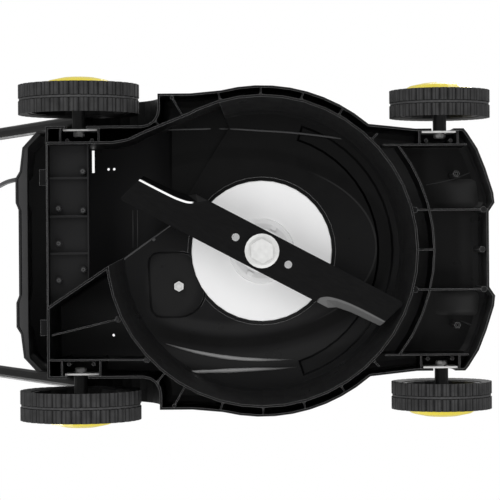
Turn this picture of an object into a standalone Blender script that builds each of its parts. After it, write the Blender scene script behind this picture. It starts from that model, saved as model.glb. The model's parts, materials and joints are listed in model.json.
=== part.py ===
"""Electric lawn mower with a 42 cm blade, standing on its wheels at its lowest cutting height.

Run it with blender --background --python part.py, or from Blender's text editor.
Metres, +X forward, +Y to the mower's left, +Z up. Everything is laid out from the
blade's axis at X = Y = 0 with the ground at Z = 0, and the whole mower then moves along X
so that the origin is the middle of its footprint.
"""

import math

import bmesh
import bpy
from mathutils import Matrix, Vector

# Fits
GAP = 0.0003            # between pieces that touch or seat
RUN = 0.0004            # round a shaft or bolt
BURY = 0.0015           # how deep fused shapes reach into each other
BLADE_R = 0.2075        # the deck's chamber is built round the blade

# Deck
WALL = 0.003
LIP_Z = 0.019           # lower edge of the chamber wall
SKIRT_Z = 0.026         # lower edge of the outer skirt
ROOF_Z = 0.098          # underside of the chamber roof
DECK_TOP = 0.109
TOP_ROUND = 0.014
BLADE_CLEAR = 0.005
CHAMBER_R = BLADE_R + BLADE_CLEAR       # at the lip
CHAMBER_TAPER = 0.014
CHAMBER_TOP_R = CHAMBER_R - CHAMBER_TAPER
CHAMBER_STEPS = 44
CHANNEL_OUT_R = CHAMBER_TOP_R * 0.94
CHANNEL_W = 0.023
CHANNEL_HALF = 72       # degrees to each side of the front
CHANNEL_DEPTH = 0.006
FLANGE_OUT = 0.016
FLANGE_R = CHAMBER_R + FLANGE_OUT
SECOND_WALL_R = FLANGE_R + 0.0105
SIDE_Y = 0.174          # outer face of the walls beside the rear wheels
FRONT_SIDE_Y = 0.167    # the same beside the front wheels
SHOULDER_Y = 0.218
ARCH_X = -0.165         # where the rear wheel arch meets the side wall
ARCH_ROUND = 0.0225
SHOULDER_X = (-0.097, ARCH_X + ARCH_ROUND)
FRONT_X = 0.313         # bumper face
FRONT_BUMP = 0.008
FRONT_BUMP_Y = 0.064
FRONT_SHOULDER = (0.309, 0.111)
FRONT_BEND = (0.298, 0.139)
FRONT_CORNER = (0.284, 0.161)
REAR_X = -0.297         # rear wall
BODY_RISE_X = -0.126    # where the rear body starts to rise
BODY_REAR_Z = 0.210     # its top at the rear wall
RIB_T = 0.0022
RIB_Z = 0.031           # lower edge of the ribs
INNER_Y = 0.149         # inner wall of the rear axle pockets
FRONT_INNER_Y = 0.145   # inner wall of the front ones
BOSS_R = 0.0045
LIP_BOSS_R = 0.0028
RADIAL_RIBS = (45, 60, 75, 90, 105)    # degrees from the front, to each side
ARCH_RIBS = ((120, 0.033), (129, 0.020))    # the same, and how far out they reach
CROSS_RIB_Y = 0.055
REAR_RIB = (-0.245, 0.1035)     # middle of the slanted rib beside the tunnel
REAR_RIB_L = 0.094
REAR_RIB_TURN = math.radians(-13.5)
CORNER_BOSS_X = -0.160          # where the rear pocket's wall meets the chamber
FRONT_BOSS = (0.269, 0.1045)
FRONT_BOSS_BORE = 0.0017
POCKET_HALF = 0.0265
POCKET_SHIFT = 0.005    # from the axle towards the mower's middle
POCKET_BOSS_X = 0.017   # from the pocket's middle
FENDER_R = 0.112        # inside, from the rear wheel's middle
FENDER_Y = 0.2165
FENDER_END = 79         # degrees above level
FENDER_TAIL_END = 88    # the same, outside the handle brackets
FENDER_SIDE_T = 0.002   # the wall beside the wheel, in the middle of the side wall

# Discharge tunnel
TONGUE_TIP = (-0.129, -0.036)
TONGUE_REAR_Y = 0.076
TUNNEL_Y = -0.149
TUNNEL_BEND_X = -0.2045
TUNNEL_MID = (-0.160, -0.1635)
VOLUTE_LEAVES_DEG = -105.5
FLOOR_FRONT_X = -0.239
FLOOR_Z = 0.044
FLOOR_T = 0.003
FLOOR_RIB = 0.009
FLOOR_RIB_Y = (-0.103, -0.050, 0.0015)
FLOOR_BOSS_X = (-0.281, -0.247)
FLOOR_BOSS_Y = ((-0.061, -0.0125, 0.0385), (-0.112, -0.058, 0.024))
TAB_Y = 0.104
TAB_W = 0.022
TAB_OUT = 0.010
SLIT_X = -0.243
SLIT_W = 0.004
SLIT_Y = (-0.1475, -0.115)
PEEP_HOLES = ((-0.2200, -0.1195), (-0.2115, -0.1195), (-0.2143, 0.120))

# Recess with the anchor nut
RECESS = ((-0.162, 0.0), (-0.158, 0.094), (-0.100, 0.094), (-0.076, 0.066), (-0.095, 0.0))
RECESS_ROUND = 0.016
RECESS_DEPTH = 0.006
NUT_AF = 0.013
NUT_AT = (-0.1174, 0.0493)

# Wheels and axles
FRONT_AXLE_X = 0.250
REAR_AXLE_X = -0.256
FRONT_WHEEL_R = 0.070
REAR_WHEEL_R = 0.085
FRONT_WHEEL_W = 0.038
REAR_WHEEL_W = 0.0415
FRONT_SIDE_GAP = 0.017
REAR_SIDE_GAP = 0.0195
LUGS = 38
LUG_DEPTH = 0.0028
GROOVE_W = 0.0045
TYRE_T = 0.012
RIM_WALL = 0.004
RIM_SPOKES = 5
HUB_R = 0.014
CAP_R = 0.052
CAP_OUT = 0.0115
AXLE_R = 0.005
AXLE_TRAVEL = 0.030
SLEEVE_R = 0.0095
BOLT_HEAD_R = 0.0085
BOLT_HEAD_T = 0.006
PLATE_T = 0.0025
PLATE_HALF = 0.0235
PLATE_OVER = 0.020
PLATE_UNDER = 0.012
NOTCH_HALF = 0.015
HEIGHTS = 3

# Blade, spindle and disc
BLADE_HALF_W = 0.0276
BLADE_T = 0.004
BLADE_Z = 0.032
BLADE_TURN = math.radians(27.95)
WING_START = 0.099
WING_BEND_Y = 0.0065    # the bend's distance from the blade's centreline
WING_RISE = 0.011
WING_OUT = 0.010
WING_CURL = 0.3         # share of the wing's width that the bend takes
BLADE_HOLE_R = 0.0055
BLADE_HOLE_X = 0.041
FLANGE_BOLT_R = 0.024
FLANGE_T = 0.003
BOLT_HEX_AF = 0.030
BOLT_HEX_T = 0.008
BOLT_R = 0.006
CARRIER_R = 0.0245
DISC_R = 0.0992
DISC_RECESS_R = 0.1046
DISC_T = 0.0025
DISC_STEPS = 36
DISC_PROUD = 0.001
COLLAR_R = (0.039, 0.045)
COLLAR_H = 0.004
SPINDLE_HOLE_R = 0.026

# Motor
SHAFT_R = 0.0085
MOTOR_STEPS = 14
MOTOR_BASE_R = 0.070
MOTOR_R = 0.062
STATOR_R = 0.058
STATOR_BORE_R = 0.036
STATOR_RISE = 0.026
STACK = 0.050
COIL_R = 0.054
COIL_H = 0.011
BEARING_R = 0.0175
BEARING_H = 0.011
CAPACITOR_R = 0.017
CAPACITOR_H = 0.060

# Motor hood
HOOD_R = MOTOR_BASE_R + 2 * CAPACITOR_R + 0.013
HOOD_TOP = 0.246
HOOD_T = 0.003
HOOD_PUFF = 2.3         # exponent of the rounded outline
VENTS = 7
VENT_W = 0.005
VENT_PITCH = 0.012
NOZZLE_R = 0.0075
NOZZLE_OUT = 0.024
NOZZLE_Y = -0.050
NOZZLE_Z = 0.190

# Rear flap
HINGE_X = -0.305
HINGE_Z = 0.212
PIN_R = 0.003
KNUCKLE_R = 0.0065
FLAP_BOTTOM = 0.068
FLAP_T = 0.003
FLAP_SIDE_Y = 0.170
FLAP_BACK_X = -0.340
FLAP_BUMP = 0.004

# Handle
HANDLE_AT = (-0.262, 0.190)     # X and Z of the lower tubes' ends
HANDLE_LEAN = math.radians(38)  # back from upright
LOWER_L = 0.460
TUBE_R = 0.0093
TUBE_T = 0.0014
BASE_Y = 0.191
FOLD_Y = 0.176
FOLD_IN = 0.013                 # pivot from the lower tube's end
STUD_AT = 0.018
STUD_R = 0.004
BRACKET_REACH = 0.045          # up the tube that the bracket reaches
PIVOT_R = 0.0035
PIVOT_HEAD_R = 0.009
PIVOT_HEAD_T = 0.006
KNOB_R = 0.011
KNOB_L = 0.022
KNOB_WING = 0.027
UPPER_L = 0.510
UPPER_TOP_Y = 0.150
UPPER_ROUND = 0.060
GRIP_T = 0.0045
GRIP_Y = (0.016, 0.084)

# Switch box
BOX_Y = -0.040
BOX_HALF_Y = 0.048
BOX_HALF_Z = 0.042
BOX_DROP = 0.010                # its middle below the bar
BOX_DEEP = 0.026
BOX_T = 0.0025
BOX_ROUND = 0.010
LEVER_X = -0.012
LEVER_DROP = 0.030              # pivot below the bar
LEVER_PIN_R = 0.004
LEVER_L = 0.088
LEVER_REACH = 0.034
BUTTON_R = 0.009
BUTTON_AT = (-0.024, -0.018)
INLET_Y = 0.020
INLET_HALF = (0.013, 0.009)
INLET_OUT = 0.018
RELIEF_R = 0.0065
RELIEF_L = 0.022
RELIEF_Y = 0.036
LEAD_X = -0.011

# Lead from the hood to the switch box
LEAD_R = 0.0035
LEAD_STEP = 0.021

BLACK = (0.020, 0.020, 0.021)
DARK = (0.045, 0.045, 0.047)
YELLOW = (0.83, 0.66, 0.04)
STEEL = (0.62, 0.62, 0.60)


def material(name, colour, roughness, metallic=0.0):
    made = bpy.data.materials.new(name)
    made.use_nodes = True
    made.diffuse_color = (*colour, 1.0)
    shader = made.node_tree.nodes["Principled BSDF"]
    shader.inputs["Base Color"].default_value = (*colour, 1.0)
    shader.inputs["Roughness"].default_value = roughness
    shader.inputs["Metallic"].default_value = metallic
    return made


def empty(name, location=(0, 0, 0), parent=None, lean=0.0):
    axis = bpy.data.objects.new(name, None)
    axis.empty_display_size = 0.03
    axis.location = location
    axis.rotation_euler = (0, -lean, 0)
    axis.parent = parent
    bpy.context.scene.collection.objects.link(axis)
    return axis


def piece(name, bm, look, parent):
    """An object from a bmesh, with its own material, at its parent's origin."""
    bmesh.ops.recalc_face_normals(bm, faces=bm.faces)
    mesh = bpy.data.meshes.new(name)
    bm.to_mesh(mesh)
    bm.free()
    mesh.shade_smooth()
    mesh.set_sharp_from_angle(angle=math.radians(32))
    mesh.materials.append(material(name, *look))
    obj = bpy.data.objects.new(name, mesh)
    obj.parent = parent
    bpy.context.scene.collection.objects.link(obj)
    return obj


def tools(name, shapes, parent):
    """A collection of hidden shapes, one object each, for one Boolean."""
    group = bpy.data.collections.new(name)
    bpy.context.scene.collection.children.link(group)
    for number, bm in enumerate(shapes):
        bmesh.ops.recalc_face_normals(bm, faces=bm.faces)
        mesh = bpy.data.meshes.new(name)
        bm.to_mesh(mesh)
        bm.free()
        shape = bpy.data.objects.new(f"{name}_{number}", mesh)
        shape.parent = parent
        shape.hide_render = True
        shape.display_type = "WIRE"
        group.objects.link(shape)
    return group


def boolean(obj, operation, name, shapes):
    """Adds one Boolean modifier that unites with, or cuts by, all the shapes."""
    change = obj.modifiers.new(name, "BOOLEAN")
    change.operation = operation
    change.operand_type = "COLLECTION"
    change.solver = "EXACT"
    change.collection = tools(f"{obj.name}_{name}", shapes, obj.parent)


def arc(centre, radius, start, end, count):
    """Points on an arc, with the angles in degrees and both ends included."""
    points = []
    for i in range(count + 1):
        angle = math.radians(start + (end - start) * i / count)
        points.append((centre[0] + radius * math.cos(angle), centre[1] + radius * math.sin(angle)))
    return points


def mirrored(half):
    """A closed outline from its +Y half, listed from front to rear."""
    other = [(x, -y) for x, y in reversed(half) if y > 1e-6]
    return half + other


def offset(outline, distance):
    """The outline moved outwards by a distance, or inwards by a negative one, with mitred corners."""
    area = sum(a[0] * b[1] - b[0] * a[1] for a, b in zip(outline, outline[1:] + outline[:1]))
    outward = distance if area > 0 else -distance
    moved = []
    for i, point in enumerate(outline):
        here = Vector(point)
        along = (here - Vector(outline[i - 1])).normalized()
        onward = (Vector(outline[(i + 1) % len(outline)]) - here).normalized()
        first = Vector((along.y, -along.x))
        second = Vector((onward.y, -onward.x))
        middle = (first + second).normalized()
        moved.append(tuple(here + middle * outward / middle.dot(first)))
    return moved


def height(level, point):
    return level(point[0]) if callable(level) else level


def prism(outline, low, high):
    """An upright prism. Its low and high ends are heights, or functions of X."""
    bm = bmesh.new()
    base = [bm.verts.new((*p, height(low, p))) for p in outline]
    top = [bm.verts.new((*p, height(high, p))) for p in outline]
    bm.faces.new(base)
    bm.faces.new(top)
    for i in range(len(outline)):
        j = (i + 1) % len(outline)
        bm.faces.new((base[i], base[j], top[j], top[i]))
    return bm


def turned_over(bm, matrix):
    bmesh.ops.transform(bm, matrix=matrix, verts=bm.verts)
    return bm


def box(low, high):
    outline = [(low[0], low[1]), (high[0], low[1]), (high[0], high[1]), (low[0], high[1])]
    return prism(outline, low[2], high[2])


def rounded_top(bm, width, segments):
    """Rounds the rim of a prism's top face."""
    bmesh.ops.recalc_face_normals(bm, faces=bm.faces)
    bm.faces.ensure_lookup_table()
    top = max((f for f in bm.faces if f.normal.z > 0.5), key=lambda f: f.calc_area())
    bmesh.ops.bevel(
        bm, geom=list(top.edges), offset=width, segments=segments, affect="EDGES",
        profile=0.5, clamp_overlap=True,
    )
    return bm


def turned(profile, steps, start=0.0):
    """A solid of revolution about Z from a closed profile of (radius, height) points."""
    bm = bmesh.new()
    rings = []
    for radius, level in profile:
        if radius == 0:
            rings.append([bm.verts.new((0, 0, level))] * steps)
            continue
        ring = []
        for i in range(steps):
            angle = start + 2 * math.pi * i / steps
            ring.append(bm.verts.new((radius * math.cos(angle), radius * math.sin(angle), level)))
        rings.append(ring)
    for first, second in zip(rings, rings[1:] + rings[:1]):
        for i in range(steps):
            j = (i + 1) % steps
            corners = list(dict.fromkeys((first[i], first[j], second[j], second[i])))
            if len(corners) > 2:
                bm.faces.new(corners)
    return bm


def cylinder(radius, low, high, steps, centre=(0, 0)):
    outline = arc(centre, radius, 0, 360 - 360 / steps, steps - 1)
    return prism(outline, low, high)


def hexagon(across_flats, low, high):
    return cylinder(across_flats / math.sqrt(3), low, high, 6)


def sideways(bm, at=(0, 0, 0), side=1):
    """Turns a shape built along Z to lie along Y, with its +Z end towards the given side."""
    return turned_over(bm, Matrix.Translation(at) @ Matrix.Rotation(-side * math.pi / 2, 4, "X"))


def smooth_path(route, step):
    """Evenly spaced points on a smooth curve through the route's points."""
    points = [Vector(p) for p in route]
    ends = [points[0] * 2 - points[1]] + points + [points[-1] * 2 - points[-2]]
    fine = []
    for before, a, b, after in zip(ends, ends[1:], ends[2:], ends[3:]):
        for i in range(24):
            t = i / 24
            fine.append(
                0.5 * (2 * a + (b - before) * t + (2 * before - 5 * a + 4 * b - after) * t * t
                       + (3 * a - before - 3 * b + after) * t ** 3)
            )
    fine.append(points[-1])
    length = sum((b - a).length for a, b in zip(fine, fine[1:]))
    count = max(2, round(length / step))
    spaced = [fine[0]]
    run = 0.0
    for a, b in zip(fine, fine[1:]):
        piece_length = (b - a).length
        while len(spaced) < count and run + piece_length >= length * len(spaced) / count:
            share = (length * len(spaced) / count - run) / piece_length
            spaced.append(a.lerp(b, share))
        run += piece_length
    return spaced + [fine[-1]]


def tube(path, radius, wall, sides):
    """A hollow tube along a path in the plane X = 0, with open ends."""
    bm = bmesh.new()
    rings = []
    for i, point in enumerate(path):
        before = path[max(i - 1, 0)]
        after = path[min(i + 1, len(path) - 1)]
        along = (Vector(after) - Vector(before)).normalized()
        across = Vector((1, 0, 0))
        up = along.cross(across)
        for r in (radius, radius - wall):
            ring = []
            for k in range(sides):
                angle = 2 * math.pi * (k + 0.5) / sides
                spot = Vector(point) + r * (math.cos(angle) * across + math.sin(angle) * up)
                ring.append(bm.verts.new(spot))
            rings.append(ring)
    outer, inner = rings[0::2], rings[1::2]
    strips = list(zip(outer, outer[1:])) + list(zip(inner, inner[1:]))
    strips += [(outer[0], inner[0]), (outer[-1], inner[-1])]
    for first, second in strips:
        for k in range(sides):
            j = (k + 1) % sides
            bm.faces.new((first[k], first[j], second[j], second[k]))
    return bm


def rear_top(x):
    """Height of the rear body's sloping top."""
    slope = (BODY_REAR_Z - DECK_TOP) / (REAR_X - BODY_RISE_X)
    return DECK_TOP + max(0.0, slope * (x - BODY_RISE_X))


def behind(outline, limit):
    """The part of an outline that lies behind an X."""
    kept = []
    for (ax, ay), (bx, by) in zip(outline, outline[1:] + outline[:1]):
        if ax <= limit:
            kept.append((ax, ay))
        if (ax - limit) * (bx - limit) < 0:
            kept.append((limit, ay + (by - ay) * (limit - ax) / (bx - ax)))
    return kept


def under_slope(outline, low, drop):
    """Two prisms that end at a distance below the deck's level top and the rear body's slope."""
    level = prism(outline, low, DECK_TOP - drop)
    sloped = prism(
        behind(outline, BODY_RISE_X), DECK_TOP - drop - 0.010, lambda x: rear_top(x) - drop
    )
    return [level, sloped]


def deck_outline():
    """The outer skirt in plan, from the bumper round the flange circle to the rear wall."""
    start = math.degrees(math.asin(SIDE_Y / FLANGE_R))
    half = [
        (FRONT_X, FRONT_BUMP_Y - 0.012),
        (FRONT_X + FRONT_BUMP, FRONT_BUMP_Y),
        (FRONT_X + FRONT_BUMP * 0.8, FRONT_BUMP_Y + 0.014),
        FRONT_SHOULDER,
        FRONT_BEND,
        FRONT_CORNER,
        (FRONT_CORNER[0] - 0.005, FRONT_SIDE_Y),
        (FRONT_AXLE_X - POCKET_SHIFT - POCKET_HALF - 2 * WALL, FRONT_SIDE_Y),
    ]
    half += arc((0, 0), FLANGE_R, start, 104, 9)
    half += [
        (SHOULDER_X[0], SHOULDER_Y),
        (SHOULDER_X[1], SHOULDER_Y),
    ]
    half += arc((ARCH_X, SIDE_Y + ARCH_ROUND), ARCH_ROUND, 0, -90, 4)
    half.append((REAR_X, SIDE_Y))
    return mirrored(half)


def tongue_y(x):
    """The straight wall between the tunnel and the rear pocket."""
    slope = (TONGUE_REAR_Y - TONGUE_TIP[1]) / (REAR_X - TONGUE_TIP[0])
    return TONGUE_TIP[1] + slope * (x - TONGUE_TIP[0])


def tunnel_outline(rear):
    """The discharge tunnel in plan, from the tongue round the rear to the volute's wall."""
    leave = math.radians(VOLUTE_LEAVES_DEG)
    tangent = (CHAMBER_R * math.cos(leave), CHAMBER_R * math.sin(leave))
    inside = (tangent[0] + 0.012, tangent[1] + 0.030)
    return [
        TONGUE_TIP,
        (rear, tongue_y(rear)),
        (rear, TUNNEL_Y),
        (TUNNEL_BEND_X, TUNNEL_Y),
        (TUNNEL_BEND_X + 0.022, TUNNEL_Y - 0.004),
        TUNNEL_MID,
        tangent,
        inside,
    ]


def rib(x, y, turn, length):
    """A straight rib with its middle at (x, y)."""
    blank = box((-length / 2, -RIB_T / 2, RIB_Z), (length / 2, RIB_T / 2, DECK_TOP - BURY))
    return turned_over(blank, Matrix.Translation((x, y, 0)) @ Matrix.Rotation(turn, 4, "Z"))


def ceiling(x):
    return max(DECK_TOP, rear_top(x)) - BURY


def boss(x, y):
    return cylinder(BOSS_R, RIB_Z - 0.003, ceiling(x), 6, (x, y))


def radial_rib(degrees, end, foot):
    """A rib from the chamber's skin out to a radius, with a boss at the radius of its foot."""
    turn = math.radians(degrees)
    start = CHAMBER_TOP_R + WALL / 2
    middle = (start + end) / 2
    at = (foot * math.cos(turn), foot * math.sin(turn))
    post = cylinder(LIP_BOSS_R, RIB_Z - 0.003, DECK_TOP - BURY, 6, at)
    return [rib(middle * math.cos(turn), middle * math.sin(turn), turn, end - start), post]


def pocket_shapes(axle_x, inner_y, outer_y, side):
    """The two end walls of an axle pocket and the bosses in it."""
    shapes = []
    middle = axle_x - math.copysign(POCKET_SHIFT, axle_x)
    low_y, high_y = sorted((side * inner_y, side * (outer_y - WALL / 2)))
    for end in (-1, 1):
        x = middle + end * POCKET_HALF
        shapes.append(box((x - RIB_T / 2, low_y, RIB_Z), (x + RIB_T / 2, high_y, ceiling(x))))
        x = middle + end * POCKET_BOSS_X
        shapes.append(
            cylinder(LIP_BOSS_R, RIB_Z + 0.004, ceiling(x), 6, (x, side * (inner_y + 2 * LIP_BOSS_R)))
        )
    return shapes


def deck_ribs():
    shapes = []
    for side in (1, -1):
        for degrees in RADIAL_RIBS:
            shapes += radial_rib(side * degrees, FLANGE_R - WALL / 2, CHAMBER_R + WALL)
        for degrees, reach in ARCH_RIBS:
            shapes += radial_rib(side * degrees, CHAMBER_R + reach, CHAMBER_R + reach)
        foot_x = math.sqrt(CHAMBER_R ** 2 - CROSS_RIB_Y ** 2) + WALL / 2
        shapes.append(rib((foot_x + FRONT_X) / 2, side * CROSS_RIB_Y, 0, FRONT_X - foot_x - WALL / 2))
        shapes.append(boss(FRONT_X - 0.007, side * CROSS_RIB_Y))
        shapes.append(boss(foot_x + BOSS_R, side * CROSS_RIB_Y))
        front_wall = (FRONT_AXLE_X - POCKET_HALF - 0.055, FRONT_CORNER[0])
        rear_wall = (REAR_X + BURY, ARCH_X + 0.004)
        for (rear, front), y in ((front_wall, side * FRONT_INNER_Y), (rear_wall, side * INNER_Y)):
            shapes.append(box((rear, y - RIB_T / 2, RIB_Z), (front, y + RIB_T / 2, DECK_TOP - BURY)))
        shapes += pocket_shapes(FRONT_AXLE_X, FRONT_INNER_Y, FRONT_SIDE_Y, side)
        shapes += pocket_shapes(REAR_AXLE_X, INNER_Y, SIDE_Y, side)
        shapes.append(boss(FRONT_BOSS[0], side * FRONT_BOSS[1]))
    shapes.append(
        rib((CHAMBER_R + SECOND_WALL_R) / 2, 0, 0, SECOND_WALL_R - CHAMBER_R - RIB_T)
    )
    shapes.append(boss(FRONT_X - 0.009, 0))
    x, y = REAR_RIB
    shapes.append(rib(x, y, REAR_RIB_TURN, REAR_RIB_L))
    x += REAR_RIB_L / 2 * math.cos(REAR_RIB_TURN)
    y += REAR_RIB_L / 2 * math.sin(REAR_RIB_TURN)
    shapes.append(boss(x, y))
    shapes.append(boss(CORNER_BOSS_X, INNER_Y))
    return shapes


def fender_arc(radius, start, end):
    return arc((REAR_AXLE_X, REAR_WHEEL_R), radius, start, end, 8)


def fenders():
    """Arched shells over the front half of each rear wheel, closed on the mower's side."""
    outer_r = FENDER_R + WALL
    low = DECK_TOP - BURY
    start = math.degrees(math.asin((low - REAR_WHEEL_R) / outer_r))
    shell = fender_arc(outer_r, start, FENDER_END) + fender_arc(FENDER_R, FENDER_END, start)
    wall = fender_arc(outer_r - WALL / 2, start + 1, FENDER_END - 1)
    wall.append((wall[-1][0], low - GAP))
    foot = fender_arc(outer_r - GAP, 0, start + 3) + fender_arc(FENDER_R + GAP, start + 3, 0)
    tail = fender_arc(outer_r - BURY / 2, FENDER_END - 6, FENDER_TAIL_END)
    tail += fender_arc(FENDER_R + BURY / 2, FENDER_TAIL_END, FENDER_END - 6)
    tail_y = tube_y(BRACKET_REACH) - TUBE_R + GAP
    middle_y = SIDE_Y - WALL / 2
    shapes = []
    for side in (1, -1):
        for outline, near, far in (
            (shell, middle_y, FENDER_Y),
            (foot, SIDE_Y + ARCH_ROUND, FENDER_Y - GAP),
            (tail, tail_y, FENDER_Y - GAP),
            (wall, middle_y - FENDER_SIDE_T / 2, middle_y + FENDER_SIDE_T / 2),
        ):
            low_y, high_y = sorted((side * near, side * far))
            shapes.append(
                turned_over(prism(outline, -high_y, -low_y), Matrix.Rotation(math.pi / 2, 4, "X"))
            )
    return shapes


def second_wall():
    """The curved wall in front of the chamber."""
    limit = math.degrees(math.asin(FRONT_INNER_Y / SECOND_WALL_R))
    outer = arc((0, 0), SECOND_WALL_R, -limit, limit, 10)
    inner = arc((0, 0), SECOND_WALL_R - RIB_T, limit, -limit, 10)
    return prism(outer + inner, RIB_Z, DECK_TOP - BURY)


def chamber_profile(grow, low):
    """Half section of the cutting chamber, or of its outer skin when it grows by the wall."""
    top = DECK_TOP - BURY if grow else ROOF_Z
    if grow:
        return [
            (0, low), (CHAMBER_R + grow, low), (CHAMBER_R + grow, LIP_Z + 0.006),
            (CHAMBER_TOP_R + grow, ROOF_Z - 0.008), (CHAMBER_TOP_R + grow, top), (0, top),
        ]
    return [
        (0, low), (CHAMBER_R, low), (CHAMBER_R, LIP_Z + 0.006), (CHAMBER_TOP_R, ROOF_Z - 0.010),
        (CHAMBER_TOP_R - 0.004, top), (0, top),
    ]


def channel():
    """The shallow curved channel in the front of the chamber's roof."""
    outer = arc((0, 0), CHANNEL_OUT_R, -CHANNEL_HALF, CHANNEL_HALF, 20)
    inner = arc((0, 0), CHANNEL_OUT_R - CHANNEL_W, CHANNEL_HALF, -CHANNEL_HALF, 20)
    return rounded_top(prism(outer + inner, 0.0035, ROOF_Z + CHANNEL_DEPTH), 0.003, 1)


def make_deck(mower):
    outline = deck_outline()
    tray = rounded_top(prism(outline, SKIRT_Z, DECK_TOP), TOP_ROUND, 2)
    deck = piece("deck_shell", tray, (BLACK, 0.45), mower)

    rear_body = [
        (REAR_X, -SIDE_Y), (BODY_RISE_X, -SIDE_Y), (BODY_RISE_X, SIDE_Y), (REAR_X, SIDE_Y),
    ]
    rise = prism(rear_body, SKIRT_Z + 0.030, lambda x: rear_top(x) + 0.0004)
    boolean(deck, "UNION", "rear_body", [rise])

    inside = offset(outline, -WALL)
    hollow = rounded_top(prism(inside, 0, DECK_TOP - WALL), TOP_ROUND - WALL, 2)
    rear_inside = [
        (REAR_X + WALL, -SIDE_Y + WALL), (BODY_RISE_X - 0.010, -SIDE_Y + WALL),
        (BODY_RISE_X - 0.010, SIDE_Y - WALL), (REAR_X + WALL, SIDE_Y - WALL),
    ]
    rear_hollow = prism(rear_inside, 0.001, lambda x: rear_top(x) - WALL)
    boolean(deck, "DIFFERENCE", "hollow", [hollow, rear_hollow])

    skin = turned(chamber_profile(WALL, LIP_Z), CHAMBER_STEPS)
    tunnel_skin = under_slope(offset(tunnel_outline(REAR_X + WALL + BURY), WALL), LIP_Z, BURY)
    boolean(deck, "UNION", "walls", [skin, second_wall()] + tunnel_skin + deck_ribs())

    chamber = turned(chamber_profile(0, 0), CHAMBER_STEPS)
    tunnel = under_slope(tunnel_outline(REAR_X + WALL), 0.0005, WALL + GAP)
    rear = tunnel_outline(REAR_X - 0.010)
    mouth = prism(
        [(REAR_X + WALL + BURY, tongue_y(REAR_X)), rear[1], rear[2], (REAR_X + WALL + BURY, TUNNEL_Y)],
        FLOOR_Z + FLOOR_T + 0.004, lambda x: rear_top(REAR_X) - WALL - 0.004,
    )
    recess = prism(RECESS, 0.002, ROOF_Z + RECESS_DEPTH)
    upright = [e for e in recess.edges if abs(e.verts[0].co.z - e.verts[1].co.z) > RECESS_DEPTH]
    bmesh.ops.bevel(recess, geom=upright, offset=RECESS_ROUND, segments=3, affect="EDGES", profile=0.5)
    rounded_top(recess, 0.003, 1)
    disc_recess = cylinder(DISC_RECESS_R, 0.003, ROOF_Z + DISC_T + RUN, DISC_STEPS)
    spindle = cylinder(SPINDLE_HOLE_R, 0.001, DECK_TOP + 0.01, 20)
    cuts = [chamber, channel(), mouth, recess, disc_recess, spindle]
    boolean(deck, "DIFFERENCE", "chamber", cuts + tunnel)
    boolean(deck, "DIFFERENCE", "holes", deck_holes())

    boolean(deck, "UNION", "rear_fittings", rear_fittings() + fenders())
    boolean(deck, "DIFFERENCE", "pin_holes", [
        sideways(cylinder(PIN_R + RUN, -0.2, 0.2, 12), (HINGE_X, 0, HINGE_Z)),
    ])
    return deck


def deck_holes():
    """Arches over the axles, the slit and the screw holes."""
    shapes = []
    axles = ((FRONT_AXLE_X, FRONT_WHEEL_R, FRONT_SIDE_Y), (REAR_AXLE_X, REAR_WHEEL_R, SIDE_Y))
    for axle_x, radius, wall_y in axles:
        for side in (1, -1):
            outline = [(axle_x - NOTCH_HALF, 0), (axle_x + NOTCH_HALF, 0)]
            outline += arc((axle_x, radius), NOTCH_HALF, 0, 180, 8)
            arch = prism(outline, -0.012, 0.012)
            turn = Matrix.Translation((0, side * wall_y, 0)) @ Matrix.Rotation(math.pi / 2, 4, "X")
            shapes.append(turned_over(arch, turn))
    shapes.append(box((SLIT_X - SLIT_W / 2, SLIT_Y[0], 0.04), (SLIT_X + SLIT_W / 2, SLIT_Y[1], 0.25)))
    for spot in PEEP_HOLES:
        shapes.append(cylinder(SLIT_W / 2, 0.05, 0.25, 8, spot))
    for side in (1, -1):
        spot = (FRONT_BOSS[0], side * FRONT_BOSS[1])
        shapes.append(cylinder(FRONT_BOSS_BORE, 0.01, 0.06, 8, spot))
    shapes.append(cylinder(NUT_AF * 0.25 + GAP, 0.09, 0.12, 12, NUT_AT))
    return shapes


def rear_fittings():
    """The two tabs on the rear wall and the ears that hold the flap's pin."""
    shapes = []
    for side in (1, -1):
        y = side * TAB_Y
        shapes.append(
            box((REAR_X - TAB_OUT, y - TAB_W / 2, 0.036), (REAR_X + BURY, y + TAB_W / 2, 0.040))
        )
        ear = [
            (REAR_X + BURY, HINGE_Z - 0.026), (REAR_X - 0.001, HINGE_Z - 0.026),
            (HINGE_X - KNUCKLE_R, HINGE_Z - 0.004),
        ] + arc((HINGE_X, HINGE_Z), KNUCKLE_R, 180, 0, 6) + [(REAR_X + BURY, HINGE_Z - 0.006)]
        low, high = sorted((side * (FLAP_SIDE_Y - 0.012), side * (FLAP_SIDE_Y - 0.004)))
        shapes.append(
            turned_over(prism(ear, -high, -low), Matrix.Rotation(math.pi / 2, 4, "X"))
        )
    return shapes


def make_chute_floor(mower):
    """Ribbed plate that closes the tunnel from below, held by screws in its bosses."""
    rear = REAR_X + WALL + GAP
    front = FLOOR_FRONT_X
    side = TUNNEL_Y + GAP
    outline = [
        (front, side), (rear, side), (rear, tongue_y(rear) - GAP), (front, tongue_y(front) - GAP * 1.5),
    ]
    floor = piece("chute_floor", prism(outline, FLOOR_Z, FLOOR_Z + FLOOR_T), (DARK, 0.5), mower)
    low = FLOOR_Z - FLOOR_RIB
    shapes = [box((front - 0.002, side, low), (front, tongue_y(front) - 0.001, FLOOR_Z + BURY))]
    for y in FLOOR_RIB_Y:
        shapes.append(box((rear, y - RIB_T / 2, low), (front, y + RIB_T / 2, FLOOR_Z + BURY)))
    for x, row in zip(FLOOR_BOSS_X, FLOOR_BOSS_Y):
        for y in row:
            shapes.append(cylinder(BOSS_R, low - 0.001, FLOOR_Z + BURY, 8, (x, y)))
    boolean(floor, "UNION", "ribs", shapes)


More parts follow.
